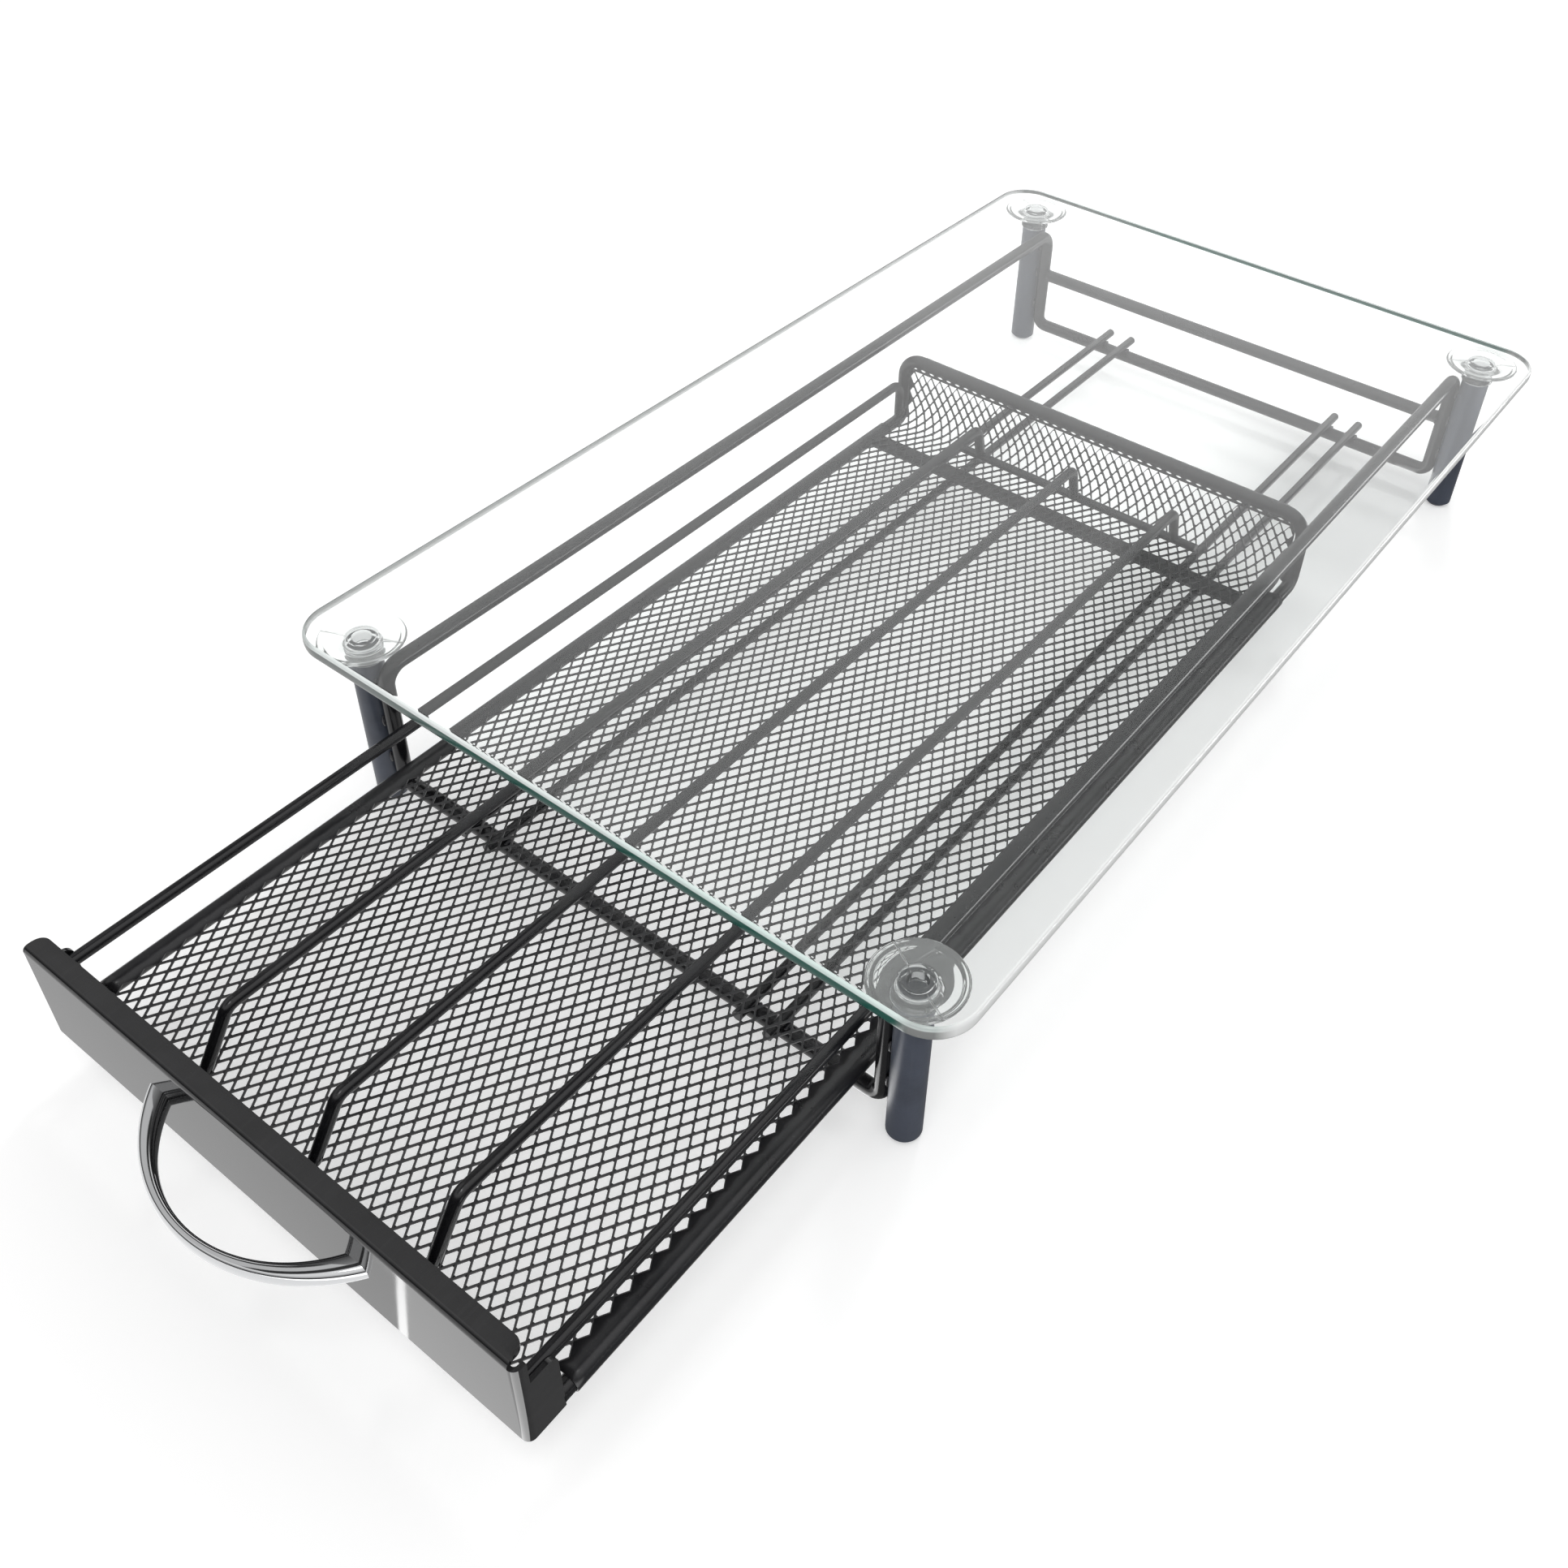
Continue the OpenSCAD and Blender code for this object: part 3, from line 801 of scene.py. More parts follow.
@dataclass
class ExpandedMesh:
    """The drawer's slit and stretched sheet: floor, bend and back wall, in millimetres."""

    finish: Material
    front: float = -306.8
    bend_y: float = 61.05
    middle_z: float = 20.45
    bend_r: float = 8.0
    wall_end_z: float = 41.8
    half_width: float = 82.6
    columns: int = 20
    rows: int = 60
    strand: float = 0.5
    thick: float = 0.35
    tilt: float = 0.2
    blunt: float = 0.32
    border: float = 0.4
    small: float = 0.75
    small_strand: float = 0.34
    rod_x: float = 85.5
    rod_z: float = 18.5
    rod_r: float = 2.4
    fold_gap: float = 0.06
    rod_front: float = -296.8
    rim_y: float = 69.5
    rim_z: float = 46.2
    rim_corner: float = 8.0
    rim_fold: Range = (-1.75, 0.5)
    rim_fold_steps: int = 14
    rim_columns: int = 84
    rim_wave: float = 0.05
    side_fold_end: float = -75.0
    side_fold_steps: int = 18
    side_wave: float = 0.06
    overlap: float = 0.1
    edge_width: float = 0.08
    flat_columns: int = 60

    @property
    def arc(self) -> float:
        """Length of the bend along the sheet's middle."""
        return self.bend_r * np.pi / 2

    @property
    def length(self) -> float:
        """Length of the sheet from the panel to where the open cells end on the wall."""
        wall = self.wall_end_z - self.middle_z - self.bend_r
        return self.bend_y - self.front + self.arc + wall

    @property
    def pitch(self) -> tuple[float, float]:
        """Width and length of a cell."""
        return self.half_width / (self.columns + 0.5), self.length / self.rows

    def on_sheet(self, u: np.ndarray, s: np.ndarray, h: np.ndarray) -> np.ndarray:
        """Takes sheet coordinates to space.

        s runs along the floor, then round a quarter circle of radius R at the
        angle (s - s1) / R, then up the wall. h is the height above the sheet's
        middle, to the inside of the bend.

        Args:
            u: across the sheet.
            s: along the sheet.
            h: square to the sheet.

        Returns:
            Points with the arrays' shape and a last axis of three.
        """
        s1 = self.bend_y - self.front
        angle = np.clip((s - s1) / self.bend_r, 0, np.pi / 2)
        past = np.maximum(s - s1 - self.arc, 0)
        reach = self.bend_r - h
        y = np.minimum(self.front + s, self.bend_y) + reach * np.sin(angle)
        z = self.middle_z + self.bend_r - reach * np.cos(angle) + past
        return np.stack([u + 0 * z, y, z], -1)

    def cells(self, centres: np.ndarray, a: float, b: float, tilt: float,
              strand: float) -> Shell:
        """Diamond cells, each a ring of strands round a hole.

        The ring's outer corners are (+-a, 0) and (0, +-b). The hole's sides lie
        half a strand inside, its long ends are blunt, and its two halves are
        tilted, one up and one down, as slit strands are.

        Args:
            centres: (n, 2) sheet coordinates.
            a: half width of a cell.
            b: half length of a cell.
            tilt: how far a strand's edge is raised or lowered.
            strand: a strand's width.

        Returns:
            The strands, open where cells join.
        """
        side = math.hypot(a, b)
        ia = a - strand / 2 * side / b
        ib = b - strand / 2 * side / a
        t = min(self.blunt, 0.4 * ia)
        ib *= 1 - t / ia
        outer = [(a, 0, 0), (0, b, 0), (-a, 0, 0), (0, -b, 0)]
        inner = [(ia, 0, tilt), (t, ib, 0.3 * tilt), (-t, ib, -0.3 * tilt),
                 (-ia, 0, -tilt), (-t, -ib, -0.3 * tilt), (t, -ib, 0.3 * tilt)]
        local = np.array(outer + inner)
        both = np.concatenate([local + [0, 0, self.thick / 2], local - [0, 0, self.thick / 2]])
        u = centres[:, None, 0] + both[None, :, 0]
        s = centres[:, None, 1] + both[None, :, 1]
        points = self.on_sheet(u, s, np.broadcast_to(both[:, 2], u.shape))
        top4 = np.array([[0, 1, 5, 4], [1, 2, 7, 6], [2, 3, 8, 7], [3, 0, 4, 9]])
        top3 = np.array([[1, 6, 5], [3, 9, 8]])
        loop = np.arange(4, 10)
        after = np.roll(loop, -1)
        wall = np.stack([loop, after, after + 10, loop + 10], -1)
        quads = np.concatenate([top4, wall, top4[:, ::-1] + 10])
        tris = np.concatenate([top3, top3[:, ::-1] + 10])
        step = (np.arange(len(centres)) * 20)[:, None, None]
        return Shell(points.reshape(-1, 3),
                     [(quads + step).reshape(-1, 4), (tris + step).reshape(-1, 3)])

    def edge_fill(self, s0: float, depth: float) -> Shell:
        """Solid half cells along a straight end: a zigzag filled out to the line s = s0.

        Args:
            s0: where the straight end is, along the sheet.
            depth: how far the zigzag's points stand off it.

        Returns:
            The band.
        """
        cw, _ = self.pitch
        k = np.arange(-2 * self.columns - 1, 2 * self.columns + 2)
        u = k * cw / 2
        return self.strip(u, s0 + np.where(k % 2 == 0, 0.0, depth), np.full_like(u, s0))

    def strip(self, u: np.ndarray, low: np.ndarray, high: np.ndarray) -> Shell:
        """A flat band of the sheet's thickness between two lines across it.

        Args:
            u: across the sheet.
            low: the nearer line, along the sheet.
            high: the further one.

        Returns:
            The band, its ends open.
        """
        rows = [self.on_sheet(u, s, np.full_like(u, h)) for s, h in (
            (low, self.thick / 2), (high, self.thick / 2),
            (high, -self.thick / 2), (low, -self.thick / 2))]
        return Shell.grid(np.stack(rows, 0), wrap_u=True)

    def net(self) -> Shell:
        """All cells: full columns, the columns between them, and a short top row.

        Returns:
            The open sheet with its solid bands.
        """
        cw, cl = self.pitch
        i = np.arange(-self.columns, self.columns + 1)
        j = np.arange(self.rows)
        full = np.stack(np.meshgrid(i * cw, (j + 0.5) * cl), -1).reshape(-1, 2)
        between = np.stack(np.meshgrid((i[:-1] + 0.5) * cw, j[1:] * cl), -1).reshape(-1, 2)
        base = self.length + self.border + self.small
        end = np.stack(np.meshgrid(i * cw, [base]), -1).reshape(-1, 2)
        line = np.linspace(-self.half_width, self.half_width, self.flat_columns)
        return Shell.join([
            self.cells(np.concatenate([full, between]), cw / 2, cl / 2, self.tilt,
                       self.strand),
            self.edge_fill(0.0, cl / 2),
            self.strip(line, np.full_like(line, self.length - self.overlap),
                       np.full_like(line, self.length + self.border)),
            self.edge_fill(self.length + self.border, self.small),
            self.cells(end, cw / 2, self.small, 0.0, self.small_strand),
            self.edge_fill(base + self.small, -self.small)])

    def zigzag(self) -> tuple[np.ndarray, np.ndarray]:
        """The net's side edge.

        Returns:
            u and s of its corners.
        """
        cw, cl = self.pitch
        k = np.arange(2 * self.rows + 1)
        return np.where(k % 2 == 0, self.columns, self.columns + 0.5) * cw, k * cl / 2

    def side_fold(self) -> Shell:
        """The unslit edge beside the floor, folded over the edge rod.

        Across, it runs straight from the net's zigzag to where it touches a
        circle round the rod, and on round that circle. Along, it follows Y.

        Returns:
            The right side's fold, without its thickness.
        """
        u, s = self.zigzag()
        keep = (s + self.front > self.rod_front) & (s + self.front < self.bend_y - 2)
        u, y = u[keep], s[keep] + self.front
        radius = self.rod_r + self.thick / 2 + self.fold_gap
        start = np.array([self.half_width, self.middle_z])
        reach = start - [self.rod_x, self.rod_z]
        touch = math.atan2(reach[1], reach[0]) - math.acos(radius / np.hypot(*reach))
        around = ring(np.linspace(touch, math.radians(self.side_fold_end),
                                  self.side_fold_steps), radius, (self.rod_x, self.rod_z))
        wave = self.side_wave * np.sin(np.arange(len(y)) * 1.7)[:, None]
        x = np.concatenate([u[:, None], around[None, :, 0] + 0 * wave], 1)
        z = np.concatenate([np.full((len(y), 1), self.middle_z), around[None, :, 1] + 0 * wave], 1)
        z[:, -1:] += wave
        return Shell.grid(np.stack([x, y[:, None] + 0 * x, z], -1))

    def side_border(self) -> Shell:
        """The narrow flat edge where no rod is beside the net: at the panel and on the bend.

        Returns:
            The right side's edge, without its thickness.
        """
        u, s = self.zigzag()
        edge = np.full_like(u, self.half_width + self.edge_width)
        return Shell.grid(np.stack([self.on_sheet(across, s, 0 * u) for across in (u, edge)]))

    def top_fold(self) -> Shell:
        """The wall's upper edge, bent back under the rim and up behind it.

        In a section across the rim it runs from the top row of holes round a
        circle about the rim, under it and up its back.

        Returns:
            The fold, without its thickness.
        """
        radius = self.rod_r + self.thick / 2 + self.fold_gap
        reach = self.rod_x - self.rim_corner
        x = np.linspace(-reach, reach, self.rim_columns)
        start = self.wall_end_z + self.border + 2 * self.small
        around = ring(np.linspace(*self.rim_fold, self.rim_fold_steps), radius,
                      (self.rim_y, self.rim_z))
        lip = np.array([[self.bend_y + self.bend_r, start - self.overlap]])
        section = np.concatenate([lip, around])
        wave = self.rim_wave * np.sin(np.arange(len(x)) * 2.3)
        z = section[None, :, 1] + 0 * wave[:, None]
        z[:, -1] += wave
        y = section[None, :, 0] + 0 * z
        return Shell.grid(np.stack([x[:, None] + 0 * z, y, z], -1))

    def build(self) -> list[Object]:
        """The net, its borders and its folds.

        Returns:
            The net first, then its thin edges.
        """
        net = put("expanded_mesh", self.net(), self.finish, Body.DRAWER, 30)
        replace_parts(net, "mesh_floor", "mesh_back")
        edges = {}
        for side in Side:
            edges[f"mesh_fold_{side.name.lower()}"] = self.side_fold().mirrored(side)
            edges[f"mesh_border_{side.name.lower()}"] = self.side_border().mirrored(side)
        edges["mesh_fold_rim"] = self.top_fold()
        return [net] + [put(name, shell, self.finish, Body.DRAWER, 50, self.thick)
                        for name, shell in edges.items()]


@dataclass
class BowHandle:
    """The arch handle: two circle arcs with an oval section between them, in millimetres."""

    finish: Material
    span: float = 39.7
    reach: float = 20.3
    middle_t: float = 2.8
    foot_t: float = 8.0
    high: float = 5.0
    panel_y: float = -308.0
    middle_z: float = 32.9
    steps: int = 120
    round_steps: int = 56
    square: float = 2.5
    groove: float = 0.07
    groove_width: float = 0.11
    groove_at: Range = (128, 323)

    def arc(self, half: float, rise: float) -> np.ndarray:
        """Points of the arc of radius (half^2 + rise^2) / (2 rise) that ends at the panel.

        Args:
            half: half its span.
            rise: how far it stands out.

        Returns:
            (n, 3) points from left to right.
        """
        radius = (half * half + rise * rise) / (2 * rise)
        turn = np.arcsin(half / radius) * np.linspace(-1, 1, self.steps)
        y = self.panel_y - rise + radius - radius * np.cos(turn)
        return np.stack([radius * np.sin(turn), y, np.full_like(turn, self.middle_z)], -1)

    def section(self) -> np.ndarray:
        """The section's (out, up) from -1 to 1: a rounded square with two shallow grooves.

        At the angle a it is (cos a, sin a), each raised to 2 / square and
        drawn in by a narrow bell at each groove's angle.

        Returns:
            (n, 2) points.
        """
        a = np.linspace(0, 2 * np.pi, self.round_steps, endpoint=False)
        flat = np.stack([np.cos(a), np.sin(a)], -1)
        flat = np.sign(flat) * np.abs(flat) ** (2 / self.square)
        dips = sum(np.exp(-((a - np.radians(at)) / self.groove_width) ** 2)
                   for at in self.groove_at)
        return flat * (1 - self.groove * dips)[:, None]

    def build(self) -> list[Object]:
        """Each point is the arcs' middle, plus out times half their distance, plus up.

        Returns:
            The handle.
        """
        outer = self.arc(self.span, self.reach)
        inner = self.arc(self.span - self.foot_t, self.reach - self.middle_t)
        section = self.section()
        half = (outer - inner)[:, None] / 2
        grid = (outer + inner)[:, None] / 2 + section[None, :, :1] * half
        grid = grid + section[None, :, 1:] * [0, 0, self.high / 2]
        shell = Shell.grid(grid, wrap_v=True)
        end = np.arange(len(section))[None, :]
        ends = [end, (self.steps - 1) * len(section) + end[:, ::-1]]
        handle = put("bow_handle", Shell(shell.points, shell.faces + ends), self.finish,
                     Body.DRAWER, smooth_deg=50)
        return [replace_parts(handle, "handle")]


@dataclass
class WeldBeads:
    """Small blobs of weld under the coat, where wires, legs and sheet meet."""

    finish: Material
    steps: int = 14
    rows: int = 9
    leg_y: float = 186.0
    runner_x: tuple[float, ...] = (-59.0, -48.5, 48.5, 59.0)
    divider_x: tuple[float, ...] = (-42.2, 0.0, 42.2)

    def frame_beads(self) -> list[tuple[np.ndarray, Triple]]:
        """The frame's beads.

        Returns:
            Centres and radii, for the posts at both sides of their joint with the
            legs, the runners on the cross rods, and the back bar's ends, above
            and below and in front.
        """
        legs, bar_radii = (-self.leg_y, self.leg_y), (0.9, 0.8, 0.8)
        return [(spots((-95.0, 95.0), beside(legs, 1.75), (19.0, 34.0, 46.5)), (0.75, 0.75, 2.2)),
                (spots(beside(self.runner_x, 1.85), legs, (11.75,)), (0.8, 1.6, 0.6)),
                (spots((-90.2, 90.2), (self.leg_y,), beside((33.2,), 2.3)), bar_radii),
                (spots((-90.2, 90.2), (self.leg_y - 2.3,), (33.2,)), bar_radii)]

    def drawer_beads(self) -> list[tuple[np.ndarray, Triple]]:
        """The drawer's beads.

        Returns:
            Centres and radii, for the side rails at the panel, above and below, and
            the dividers' rear and front feet at both sides.
        """
        return [(spots((-84.55, 84.55), (-306.2,), beside((36.5,), 1.7)), (1.3, 0.8, 0.7)),
                (spots(beside(self.divider_x, 1.9), (61.0,), (24.0,)), (0.7, 1.2, 0.7)),
                (spots(beside(self.divider_x, 1.6), (-295.2,), (21.1,)), (0.6, 1.4, 0.6))]

    def blobs(self, groups: list[tuple[np.ndarray, Triple]]) -> Shell:
        """Closed ovals: centre + radii * a unit sphere, whose rows run from pole to pole.

        Args:
            groups: centres, and the radii that they share.

        Returns:
            All the ovals.
        """
        down = np.linspace(-np.pi / 2, np.pi / 2, self.rows)[None, :]
        a = np.linspace(0, 2 * np.pi, self.steps, endpoint=False)[:, None]
        ball = np.stack([np.cos(a) * np.cos(down), np.sin(a) * np.cos(down),
                         np.sin(down) + 0 * a], -1)
        return Shell.join([Shell.grid(centre + ball * radii, wrap_u=True)
                           for centres, radii in groups for centre in centres])

    def build(self) -> list[Object]:
        """One piece of beads on each body.

        Returns:
            The frame's and the drawer's.
        """
        beads = {Body.FRAME: self.frame_beads(), Body.DRAWER: self.drawer_beads()}
        return [put(f"weld_beads_{body.value}", self.blobs(groups), self.finish, body,
                    60) for body, groups in beads.items()]


def beside(middles: Sequence[float], away: float) -> np.ndarray:
    """Each middle less and plus a distance."""
    return np.add.outer(middles, [-away, away]).ravel()


def spots(*axes: Sequence[float]) -> np.ndarray:
    """Every combination of X, Y and Z values, as (n, 3) points."""
    return np.stack(np.meshgrid(*axes, indexing="ij"), -1).reshape(-1, 3)


# ---------------------------------------------------------------- studio


def mirrored_only(g: Graph, path: Node) -> Socket:
    """1 for rays that a surface mirrors, 0 for those that pass through glass."""
    return g.times(path.outputs["Is Glossy Ray"],
                   g.minus(1.0, path.outputs["Is Transmission Ray"]))


@dataclass(frozen=True)
class MirroredTable:
    """What polished surfaces see of the floor, in metres; each range is a soft step.

    A painted reflection: the floor glows for mirrored rays only. It is pale up to a bright edge and
    grey past it, which sets the painted reflection on the front panel's face and its bright streak. A
    bright strip lies to the right and paints a highlight at the panel's corner, a dim part beside the
    drawer paints shade on the panel's side flange, and a bright part far to the right and back paints
    highlights along the right rails.
    """

    pale: float = 1.15
    dim: float = 0.86
    edge_from: Range = (0.0395, -0.3118)
    edge_to: Range = (0.0292, -0.3198)
    front_y: float = -0.3225
    front_slope: float = 0.02
    corner_soft: float = 0.0016
    edge_soft: float = 0.0002
    edge_x: Range = (0.0, 0.02)
    edge_width: Range = (0.00018, 0.0008)
    edge_width_x: Range = (0.018, 0.03)
    edge_value: float = 3.0
    strip_x: Range = (0.0785, 0.0795)
    strip_value: float = 2.6
    beside_x: Range = (0.0872, 0.0885)
    beside_y: Range = (-0.3135, -0.3125)
    beside_value: float = 0.22
    far_x: Range = (0.2, 0.3)
    far_y: Range = (-0.1, 0.1)
    far_value: float = 7.0

    def edge_distance(self, g: Graph, x: Socket, y: Socket) -> Socket:
        """How far a point is past the edge: the lesser of two distances a x + b y + c.

        One is to the line through edge_from and edge_to, the other to the front
        line y = front_y + front_slope x. They are joined softly.

        Args:
            g: the material's graph.
            x: the point's X.
            y: the point's Y.

        Returns:
            The distance, less than 0 on the pale side.
        """
        start = Vector(self.edge_from)
        along = (Vector(self.edge_to) - start).normalized()
        a, b = along.y, -along.x
        side = g.plus(g.times(x, a), g.times(y, b), -(a * start.x + b * start.y))
        front = g.minus(g.plus(y, -self.front_y), g.times(x, self.front_slope))
        return g.math("SMOOTH_MIN", side, front, self.corner_soft)

    def colour(self, g: Graph) -> Socket:
        """The floor's colour for mirrored rays: the painted reflection.

        Args:
            g: the floor's material graph.

        Returns:
            The colour.
        """
        x, y, _ = g.axes(g.spot())
        distance = self.edge_distance(g, x, y)
        wide = g.spread(x, *self.edge_width_x, *self.edge_width)
        inner = g.math("DIVIDE", g.unsigned(distance), wide)
        edge = g.times(g.fall(inner, 1.0, 1.5), g.rise(x, *self.edge_x))
        colour = g.mix(g.rise(distance, -self.edge_soft, self.edge_soft), grey(self.pale),
                       grey(self.dim))
        # painted highlights and painted shade in the reflection: the streak along the edge, the corner
        # strip, the flange's shade, the rails' highlights
        for mask, value in (
                (edge, self.edge_value),
                (g.rise(x, *self.strip_x), self.strip_value),
                (g.times(g.rise(x, *self.beside_x), g.rise(y, *self.beside_y)),
                 self.beside_value),
                (g.times(g.rise(x, *self.far_x), g.rise(y, *self.far_y)), self.far_value)):
            colour = g.mix(mask, colour, grey(value))
        return colour


@dataclass(frozen=True)
class MirroredCeiling:
    """What polished surfaces see overhead, in metres; each range is a soft step.

    A painted reflection on a card that glows for mirrored rays only. A pale wall and ceiling grow
    brighter towards the back and to the right, and paint the pale reflection in the shelf. A dark,
    unlit part lies between left_x and a line that leans left towards the back, in front of unlit_y,
    and a second unlit strip runs across it; they paint dark bands on the chrome and the wires. A
    bright square near the front paints glints; it glows, and is no lamp.
    """

    wall_y: Range = (0.6, 1.5)
    wall: Range = (0.7, 1.15)
    back_y: Range = (2.3, 2.62)
    back: float = 0.45
    right_x: Range = (-0.05, 0.05)
    right: float = 0.35
    left_x: Range = (-0.08, 0.0)
    lean: float = 0.12
    lean_x: Range = (-0.63, -0.57)
    unlit_y: Range = (2.1, 2.18)
    strip_from: Range = (0.17, 0.22)
    strip_to: Range = (0.7, 0.76)
    unlit: float = 0.05
    # where the square of painted glints lies: a glowing patch, no lamp
    lamp: Range = (0.45, -0.75)
    glint_half: Range = (0.14, 0.18)
    glint_value: float = 9.0

    def colour(self, g: Graph) -> Socket:
        """The card's colour: the painted reflection.

        Args:
            g: the card's material graph.

        Returns:
            The colour.
        """
        x, y, _ = g.axes(g.spot())
        pale = g.plus(g.spread(y, *self.wall_y, *self.wall),
                      g.spread(y, *self.back_y, 0.0, self.back),
                      g.spread(x, *self.right_x, 0.0, self.right))
        left = g.fall(x, *self.left_x)
        strip = g.times(g.rise(y, *self.strip_from), g.fall(y, *self.strip_to), left)
        leaning = g.rise(g.plus(x, g.times(y, self.lean)), *self.lean_x)
        unlit = g.times(leaning, left, g.fall(y, *self.unlit_y))
        colour = g.mix(g.math("MAXIMUM", unlit, strip), pale, grey(self.unlit))
        # painted glints from a bright glowing square, no lamp
        lamp = g.times(*[g.fall(g.unsigned(g.minus(axis, middle)), *self.glint_half)
                         for axis, middle in zip((x, y), self.lamp)])
        return g.mix(lamp, colour, grey(self.glint_value))


@dataclass(frozen=True)
class StageFloor:
    """A pale matt floor that shows white to the camera, mirrors and glass.

    Seen through the shelf it has painted light, a little paler to the left, and a painted shadow,
    darker to the right at the back.
    """

    albedo: float = 0.8
    glow: float = 0.38
    across: Range = (-0.1, 0.1)
    # painted light on the floor under the shelf, paler to the left
    painted_light_across: Range = (0.12, -0.02)
    # depth of the painted shadow under the shelf at the back right
    dim: float = 0.3
    painted_shadow_x: Range = (0.0, 0.05)
    painted_shadow_from: Range = (0.03, 0.12)
    painted_shadow_to: Range = (0.18, 0.215)

    def build(self) -> Material:
        """Matt white in the lamps' light, with a glow that only those rays see.

        Returns:
            The material.
        """
        material = bpy.data.materials.new("floor_white")
        g = Graph.cleared(material)
        path = g.add("LightPath")
        x, y, _ = g.axes(g.spot())
        through = path.outputs["Is Transmission Ray"]
        # painted light and painted shadow on the floor, seen through the shelf only: paler to the
        # left, darker to the right at the back
        dim = g.times(g.rise(y, *self.painted_shadow_from), g.spread(y, *self.painted_shadow_to, self.dim, 0.0),
                      g.rise(x, *self.painted_shadow_x))
        under = g.times(through, g.minus(g.spread(x, *self.across, *self.painted_light_across), dim))
        matt = g.add("BsdfDiffuse", {"Color": grey(self.albedo)}).outputs[0]
        shine = g.add("Emission", {"Color": grey(1), "Strength": g.plus(under, self.glow)})
        shown = g.add("AddShader", {0: matt, 1: shine.outputs[0]}).outputs[0]
        seen = g.math("MAXIMUM", path.outputs["Is Camera Ray"], through)
        # painted reflection: the floor's colour for mirrored rays
        table = g.add("Emission", {"Color": MirroredTable().colour(g), "Strength": 1.0})
        surface = g.choose(mirrored_only(g, path), g.choose(seen, matt, shown),
                           table.outputs[0])
        g.add("OutputMaterial", {0: surface})
        return material


@dataclass
class Studio:
    """A white floor, an even sky, two lamps, and a ceiling card that only mirrors see, glowing to
    paint reflections.
    """

    floor_half: float = 3.0
    floor_z: float = -0.0002
    sky: float = 0.66
    band_up: Range = (0.2, 0.65)
    band: Range = (0.06, 1.0)
    card_x: Range = (-3.2, 1.5)
    card_y: Range = (-1.6, 4.6)
    card_z: float = 1.7
    aim: Triple = (0.0, -0.05, 0.03)
    lamps: tuple[tuple[str, float, float, Triple], ...] = (
        ("soft_lamp", 10.0, 1.4, (0.5, -0.9, 1.9)), ("window_lamp", 7.0, 0.35, (-0.5, 1.5, 1.6)))

    def card(self, name: str, across: Range, along: Range, z: float,
             material: Material) -> Object:
        """A flat rectangle that is stage.

        Args:
            name: its name.
            across: its ends in X.
            along: its ends in Y.
            z: its height.
            material: its material.

        Returns:
            The card.
        """
        (x0, x1), (y0, y1) = across, along
        mesh = bpy.data.meshes.new(name)
        mesh.from_pydata([(x0, y0, z), (x1, y0, z), (x1, y1, z), (x0, y1, z)], [],
                         [(0, 1, 2, 3)])
        mesh.materials.append(material)
        card = bpy.data.objects.new(name, mesh)
        bpy.context.scene.collection.objects.link(card)
        return card

    def world(self) -> None:
        """White to the camera, mirrors and glass, with a dim band low down for the mirrors only: a
        painted reflection.
        """
        world = bpy.data.worlds.new("studio_sky")
        bpy.context.scene.world = world
        g = Graph.cleared(world)
        path = g.add("LightPath")
        _, _, up = g.axes(g.add("TexCoord").outputs["Generated"])
        # painted reflection: a dim band low down that only mirrors see
        band = g.spread(up, *self.band_up, *self.band)
        seen = path.outputs["Is Camera Ray"]
        for kind in ("Is Glossy Ray", "Is Transmission Ray"):
            seen = g.math("MAXIMUM", seen, path.outputs[kind])
        colour = g.mix(seen, grey(self.sky), g.mix(mirrored_only(g, path), grey(1), band))
        sky = g.add("Background", {"Color": colour, "Strength": 1.0})
        g.add("OutputWorld", {0: sky.outputs[0]})

    def lamp(self, name: str, power: float, size: float, place: Triple) -> None:
        """A square lamp, turned to the object's middle, that mirrors don't see.

        Args:
            name: its name.
            power: its power in watts.
            size: its side in metres.
            place: where it hangs.
        """
        light = bpy.data.lights.new(name, "AREA")
        light.energy, light.size = power, size
        lamp = bpy.data.objects.new(name, light)
        lamp.location = place
        away = Vector(self.aim) - Vector(place)
        lamp.rotation_euler = away.to_track_quat("-Z", "Y").to_euler()
        lamp.visible_glossy = lamp.visible_transmission = False
        bpy.context.scene.collection.objects.link(lamp)

    def ceiling_card(self) -> None:
        """A flat card overhead that glows for mirrors only: a painted reflection."""
        material = bpy.data.materials.new("ceiling_glow")
        g = Graph.cleared(material)
        glow = g.add("Emission", {"Color": MirroredCeiling().colour(g), "Strength": 1.0})
        g.add("OutputMaterial", {0: glow.outputs[0]})
        card = self.card("ceiling_card", self.card_x, self.card_y, self.card_z, material)
        card.visible_camera = card.visible_diffuse = card.visible_transmission = False
        card.visible_shadow = card.visible_volume_scatter = False

    def build(self) -> None:
        """Floor, sky, lamps, card and a plain view transform."""
        reach = (-self.floor_half, self.floor_half)
        self.card("floor", reach, reach, self.floor_z, StageFloor().build())
        self.world()
        for lamp in self.lamps:
            self.lamp(*lamp)
        self.ceiling_card()
        bpy.context.scene.view_settings.view_transform = "Standard"


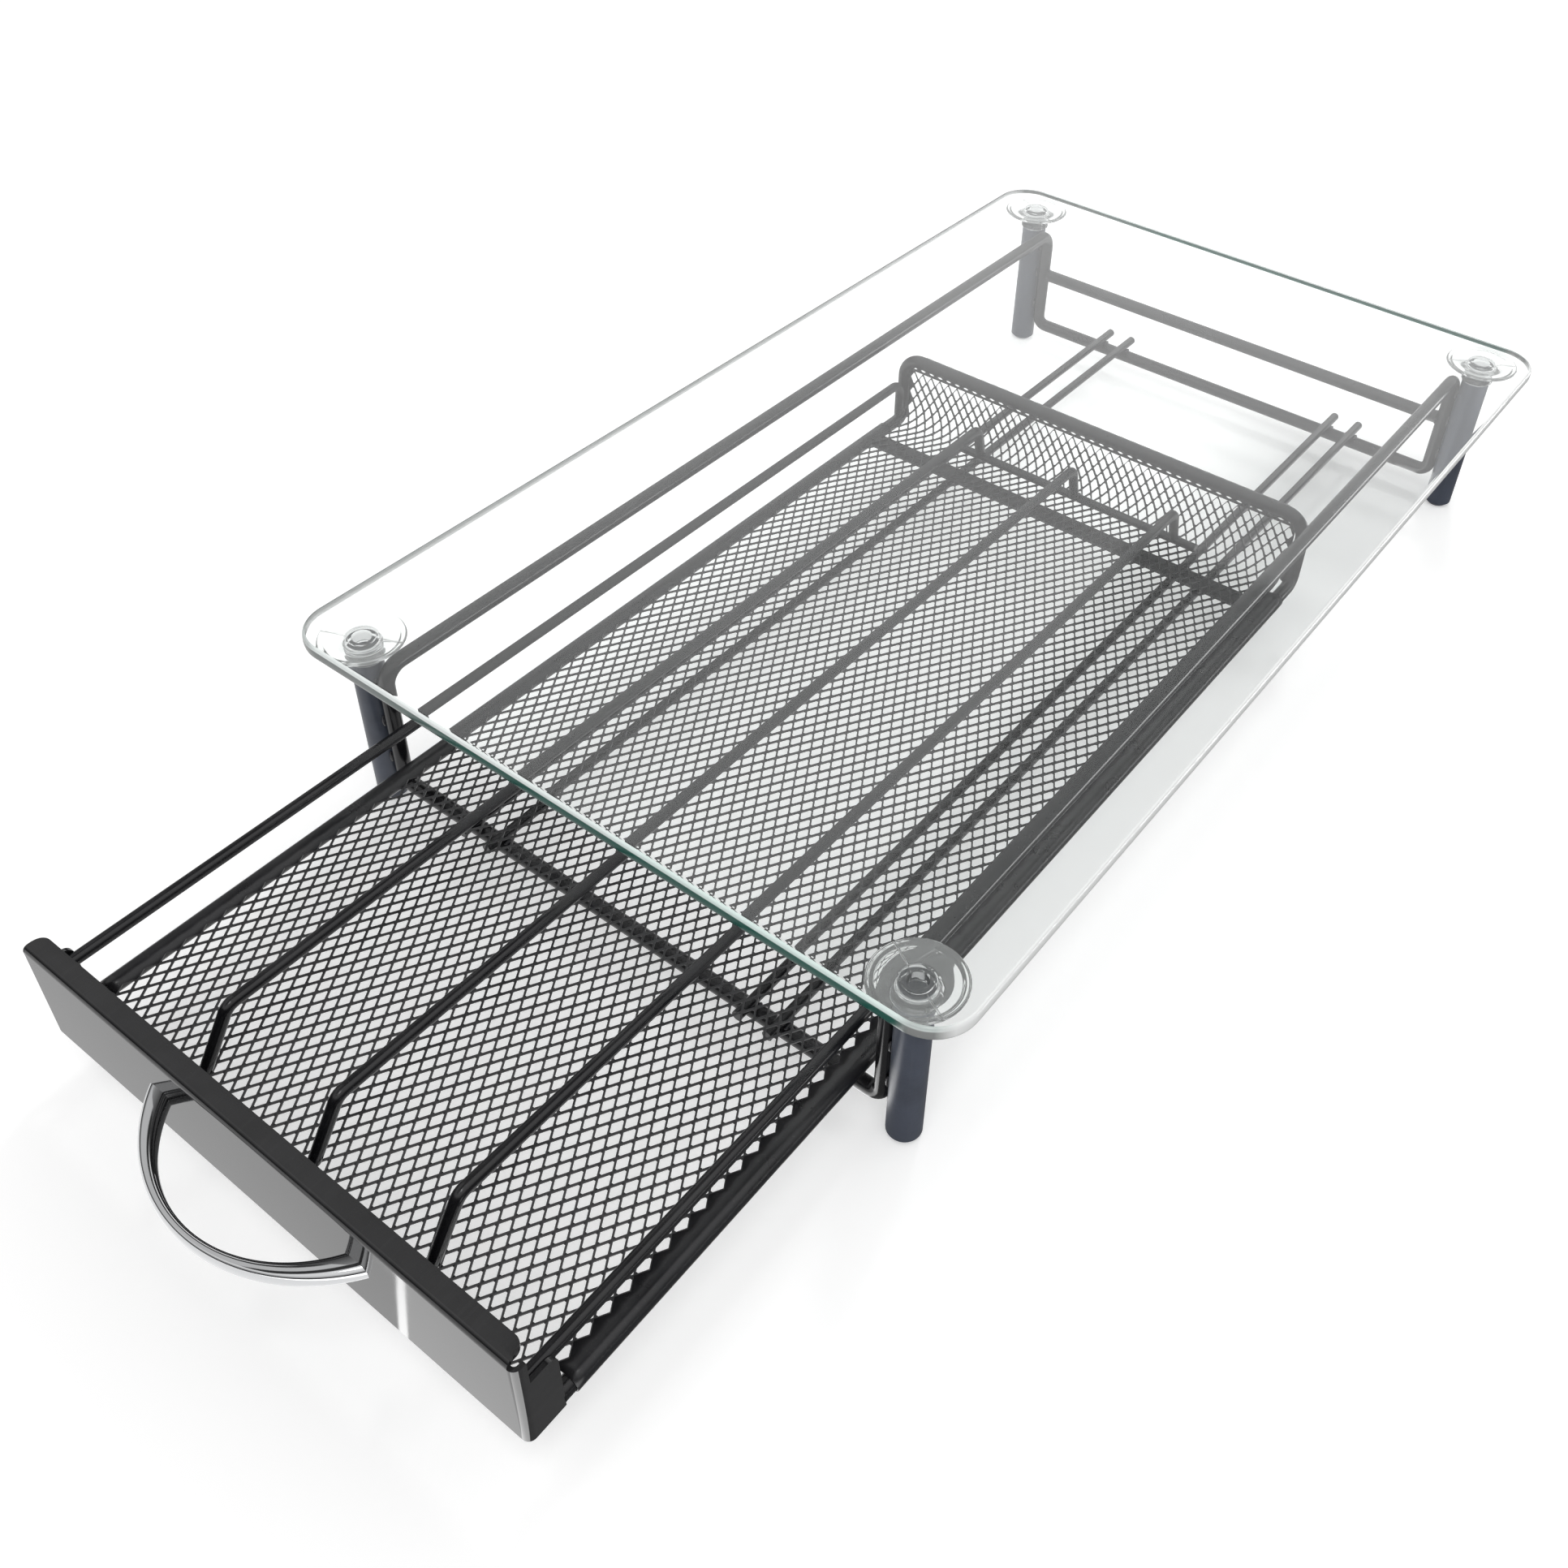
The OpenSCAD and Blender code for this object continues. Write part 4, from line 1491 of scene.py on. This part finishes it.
@dataclass
class Viewpoint:
    """The camera: where it stands, how it is turned, and its picture's middle."""

    place: Triple = (0.2241768, -0.3934856, 0.3716973)
    turn: Triple = (2.1777, 0.7486, -0.2994)
    focal_px: float = 1982.2404
    middle: Range = (1047.4734, 813.9781)
    size: float = 1932.0
    sensor: float = 36.0

    def build(self) -> None:
        """Makes the camera from the turn as an axis times an angle."""
        axis = Vector(self.turn)
        rows = Matrix.Rotation(axis.length, 3, axis.normalized())
        data = bpy.data.cameras.new("camera")
        data.sensor_fit, data.sensor_width = "HORIZONTAL", self.sensor
        data.lens = self.focal_px / self.size * self.sensor
        data.shift_x = (self.size / 2 - self.middle[0]) / self.size
        data.shift_y = (self.middle[1] - self.size / 2) / self.size
        camera = bpy.data.objects.new("camera", data)
        basis = Matrix((rows[0], -Vector(rows[1]), -Vector(rows[2]))).transposed()
        camera.matrix_world = Matrix.Translation(self.place) @ basis.to_4x4()
        bpy.context.scene.collection.objects.link(camera)
        bpy.context.scene.camera = camera


# ---------------------------------------------------------------- the whole


class Finishes:
    """Every finish of the object, built once."""

    def __init__(self) -> None:
        """Builds the materials."""
        effects = Effects()
        self.wire = CoatedMetal(
            "wire_coat", colour=(0.006, 0.006, 0.0075), rough=0.22, rough_spread=0.04,
            grain_scale=1400.0, grain_height=0.012, dust=0.04, scuff=0.05).build(effects)
        self.leg = CoatedMetal(
            "leg_coat", colour=(0.058, 0.068, 0.094), rough=0.36, rough_spread=0.05,
            grain_scale=1100.0, grain_height=0.03, dust=0.08, scuff=0.1,
            stretch=(1.0, 1.0, 0.04)).build(effects)
        self.mesh = CoatedMetal(
            "mesh_coat", colour=(0.009, 0.009, 0.011), rough=0.3, rough_spread=0.05,
            grain_scale=1800.0, grain_height=0.015, dust=0.06).build(effects)
        self.weld = CoatedMetal(
            "weld_coat", colour=(0.02, 0.02, 0.024), rough=0.12, rough_spread=0.04,
            grain_scale=1200.0, grain_height=0.02, dust=0.04).build(effects)
        self.panel = CoatedMetal(
            "panel_gloss", colour=(0.012, 0.012, 0.013), rough=0.05, rough_spread=0.01,
            grain_scale=2200.0, grain_height=0.004, dust=0.02, scuff=0.05).build(effects)
        self.chrome = PolishedMetal("chrome_plate").build(effects)
        self.glass = ClearStuff("shelf_glass", colour=(0.98, 0.995, 0.99), ior=1.5, rough=0.0,
                                smear=0.05).build(effects)
        self.edge = GroundEdge("glass_edge").build(effects)
        self.clear = ClearStuff("clear_pad", colour=(0.95, 0.96, 0.955), ior=1.49, rough=0.02,
                                smear=0.12, through=0.95, mould_line=True).build(effects)


def dress_nodes(finishes: Finishes) -> None:
    """Gives every CAD node its finish by the start of its name.

    Args:
        finishes: the object's finishes.
    """
    rules = {"glass": finishes.glass, "holder": finishes.clear, "leg": finishes.leg,
             "mesh": finishes.mesh, "cross_strip": finishes.mesh, "front_panel": finishes.panel,
             "handle": finishes.chrome}
    for name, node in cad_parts.items():
        finish = next((mat for start, mat in rules.items() if name.startswith(start)),
                      finishes.wire)
        node.data.materials.clear()
        node.data.materials.append(finish)
        log.info("node %s: %s", name, finish.name)


def main() -> None:
    """Builds the sub-assemblies in order and reports their pieces, then makes studio and camera."""
    finishes = Finishes()
    dress_nodes(finishes)
    for part in (GlassPlate(finishes.glass, finishes.edge), GlassHolders(finishes.clear),
                 ExpandedMesh(finishes.mesh), BowHandle(finishes.chrome),
                 WeldBeads(finishes.weld)):
        for piece in part.build():
            log.info("%s: piece %s, %d faces", type(part).__name__, piece.name,
                     len(piece.data.polygons))
    Studio().build()
    Viewpoint().build()


if __name__ == "__main__":
    main()
